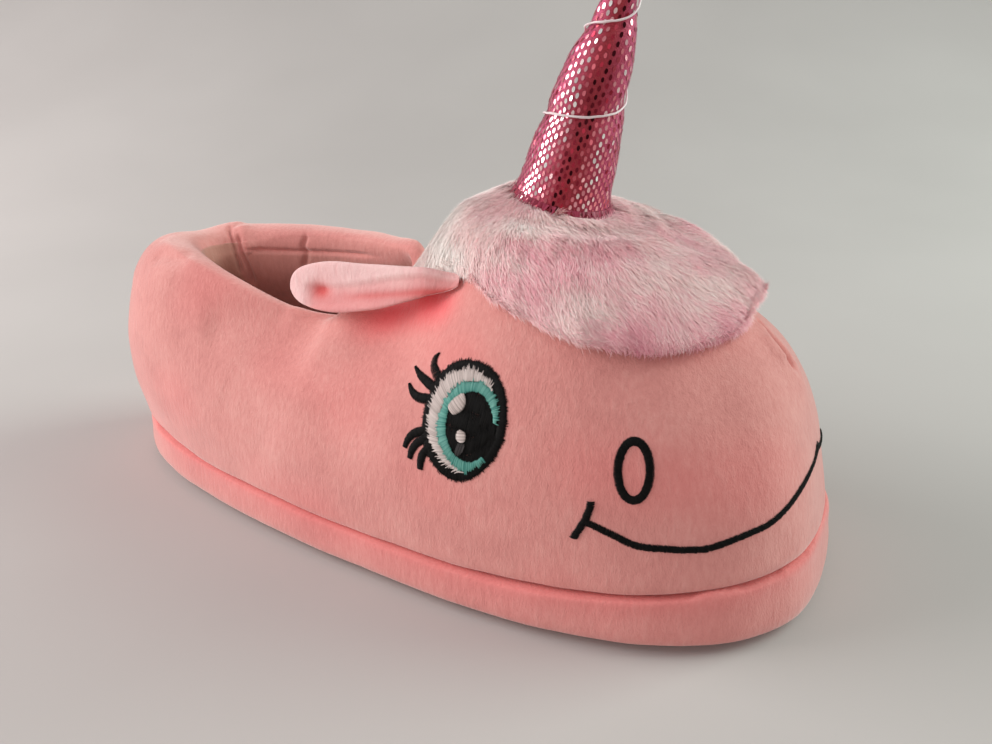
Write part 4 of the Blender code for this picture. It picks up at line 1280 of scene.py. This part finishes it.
# The twine is thinner than the model's, by an amount that varies, and wanders a little
TWINE_THINNER_MM = 0.14
TWINE_LUMPS = ((0.06, 0.0016, 61),)
TWINE_WANDER = ((0.12, 0.005, 62),)


def shape_thread():
    mesh = fine_copy("horn_thread", 1)
    points, normals = points_of(mesh), normals_of(mesh)
    thicker = (hills(points, TWINE_LUMPS) - TWINE_THINNER_MM * MM)[:, None]
    set_points(mesh, points + thicker * normals + hills(points, TWINE_WANDER)[:, None])
    set_values(mesh, "shade", RANDOM.uniform(0.3, 1.0, len(mesh.vertices)))
    add_object("horn_twine", mesh, SILVER_THREAD, ("horn_thread",))


# Scene


def add_camera():
    data = bpy.data.cameras.new("camera")
    data.sensor_fit = "HORIZONTAL"
    data.sensor_width = 36.0
    data.lens = FOCAL_PX * data.sensor_width / FRAME_PX
    data.clip_start = 0.01
    made = placed("camera", data)
    turn = Matrix([CAMERA_RIGHT, CAMERA_UP, CAMERA_BACK]).transposed()
    made.matrix_world = Matrix.Translation(Vector(CAMERA_MM) * MM) @ turn.to_4x4()
    bpy.context.scene.camera = made


# Columns: name, place in millimetres, size in metres, watts, colour
LIGHTS = (
    ("window", (-920, -380, 480), (0.8, 0.8), 12.2, (1.0, 0.97, 0.97)),
    ("fill", (500, -900, 500), (0.9, 0.7), 1.3, (1.0, 0.95, 0.90)),
    ("side", (820, 540, 640), (0.6, 0.8), 9.5, (0.84, 1.0, 0.94)),
)
LIGHTS_AIM_MM = (0, 0, 60)


def add_light(name, place_mm, size, power, shade):
    data = bpy.data.lights.new(name, "AREA")
    data.shape = "RECTANGLE"
    data.size, data.size_y = size
    data.energy = power
    data.color = shade
    made = placed(name, data)
    place = Vector(place_mm) * MM
    made.location = place
    made.rotation_euler = (place - Vector(LIGHTS_AIM_MM) * MM).to_track_quat("Z", "Y").to_euler()


# The floor, in metres: reach towards the camera and to both sides, start and radius of its bend behind
# the slipper, and its height
FLOOR_FRONT = 3.0
FLOOR_SIDE = 4.0
FLOOR_BEND_FROM = 0.35
FLOOR_BEND = 0.9
FLOOR_TOP = 3.0


def add_floor():
    """A pale sheet, flat under the slipper, that curves up behind it as the camera sees it."""
    look = Shader("floor", 0.9, Specular_IOR_Level=0.1)
    look.finish(look.ramp(look.noise(3.0), (0.3, colour(188, 182, 179)), (0.7, colour(195, 189, 186))))
    bend = [(FLOOR_BEND_FROM + FLOOR_BEND * math.sin(a), FLOOR_BEND - FLOOR_BEND * math.cos(a))
            for a in np.linspace(0, math.pi / 2, 40)]
    profile = [(-FLOOR_FRONT, 0.0), *bend, (FLOOR_BEND_FROM + FLOOR_BEND, FLOOR_TOP)]
    behind = -Vector(CAMERA_BACK) * Vector((1, 1, 0))
    behind.normalize()
    aside = Vector((-behind.y, behind.x, 0.0))
    verts = [behind * far + aside * wide + Vector((0, 0, up))
             for far, up in profile for wide in (FLOOR_SIDE, -FLOOR_SIDE)]
    faces = [(2 * k, 2 * k + 1, 2 * k + 3, 2 * k + 2) for k in range(len(profile) - 1)]
    mesh = bpy.data.meshes.new("floor")
    mesh.from_pydata(verts, [], faces)
    mesh.shade_smooth()
    mesh.materials.append(look.material)
    placed("floor", mesh)


def add_world():
    world = bpy.data.worlds.new("studio")
    world.use_nodes = True
    background = world.node_tree.nodes["Background"]
    background.inputs["Color"].default_value = (0.86, 0.84, 0.85, 1.0)
    background.inputs["Strength"].default_value = 0.45
    bpy.context.scene.world = world


def main():
    bpy.context.scene.view_settings.view_transform = "Standard"
    add_camera()
    add_floor()
    add_world()
    for light in LIGHTS:
        add_light(*light)
    tree = shape_upper()
    shape_band()
    shape_insole()
    NODES["outsole"].data.materials.clear()
    NODES["outsole"].data.materials.append(outsole_material())
    shape_ear("ear_right", 1, tree)
    shape_ear("ear_left", -1, tree)
    embroider(tree)
    grow_fur()
    shape_horn()
    shape_thread()


main()
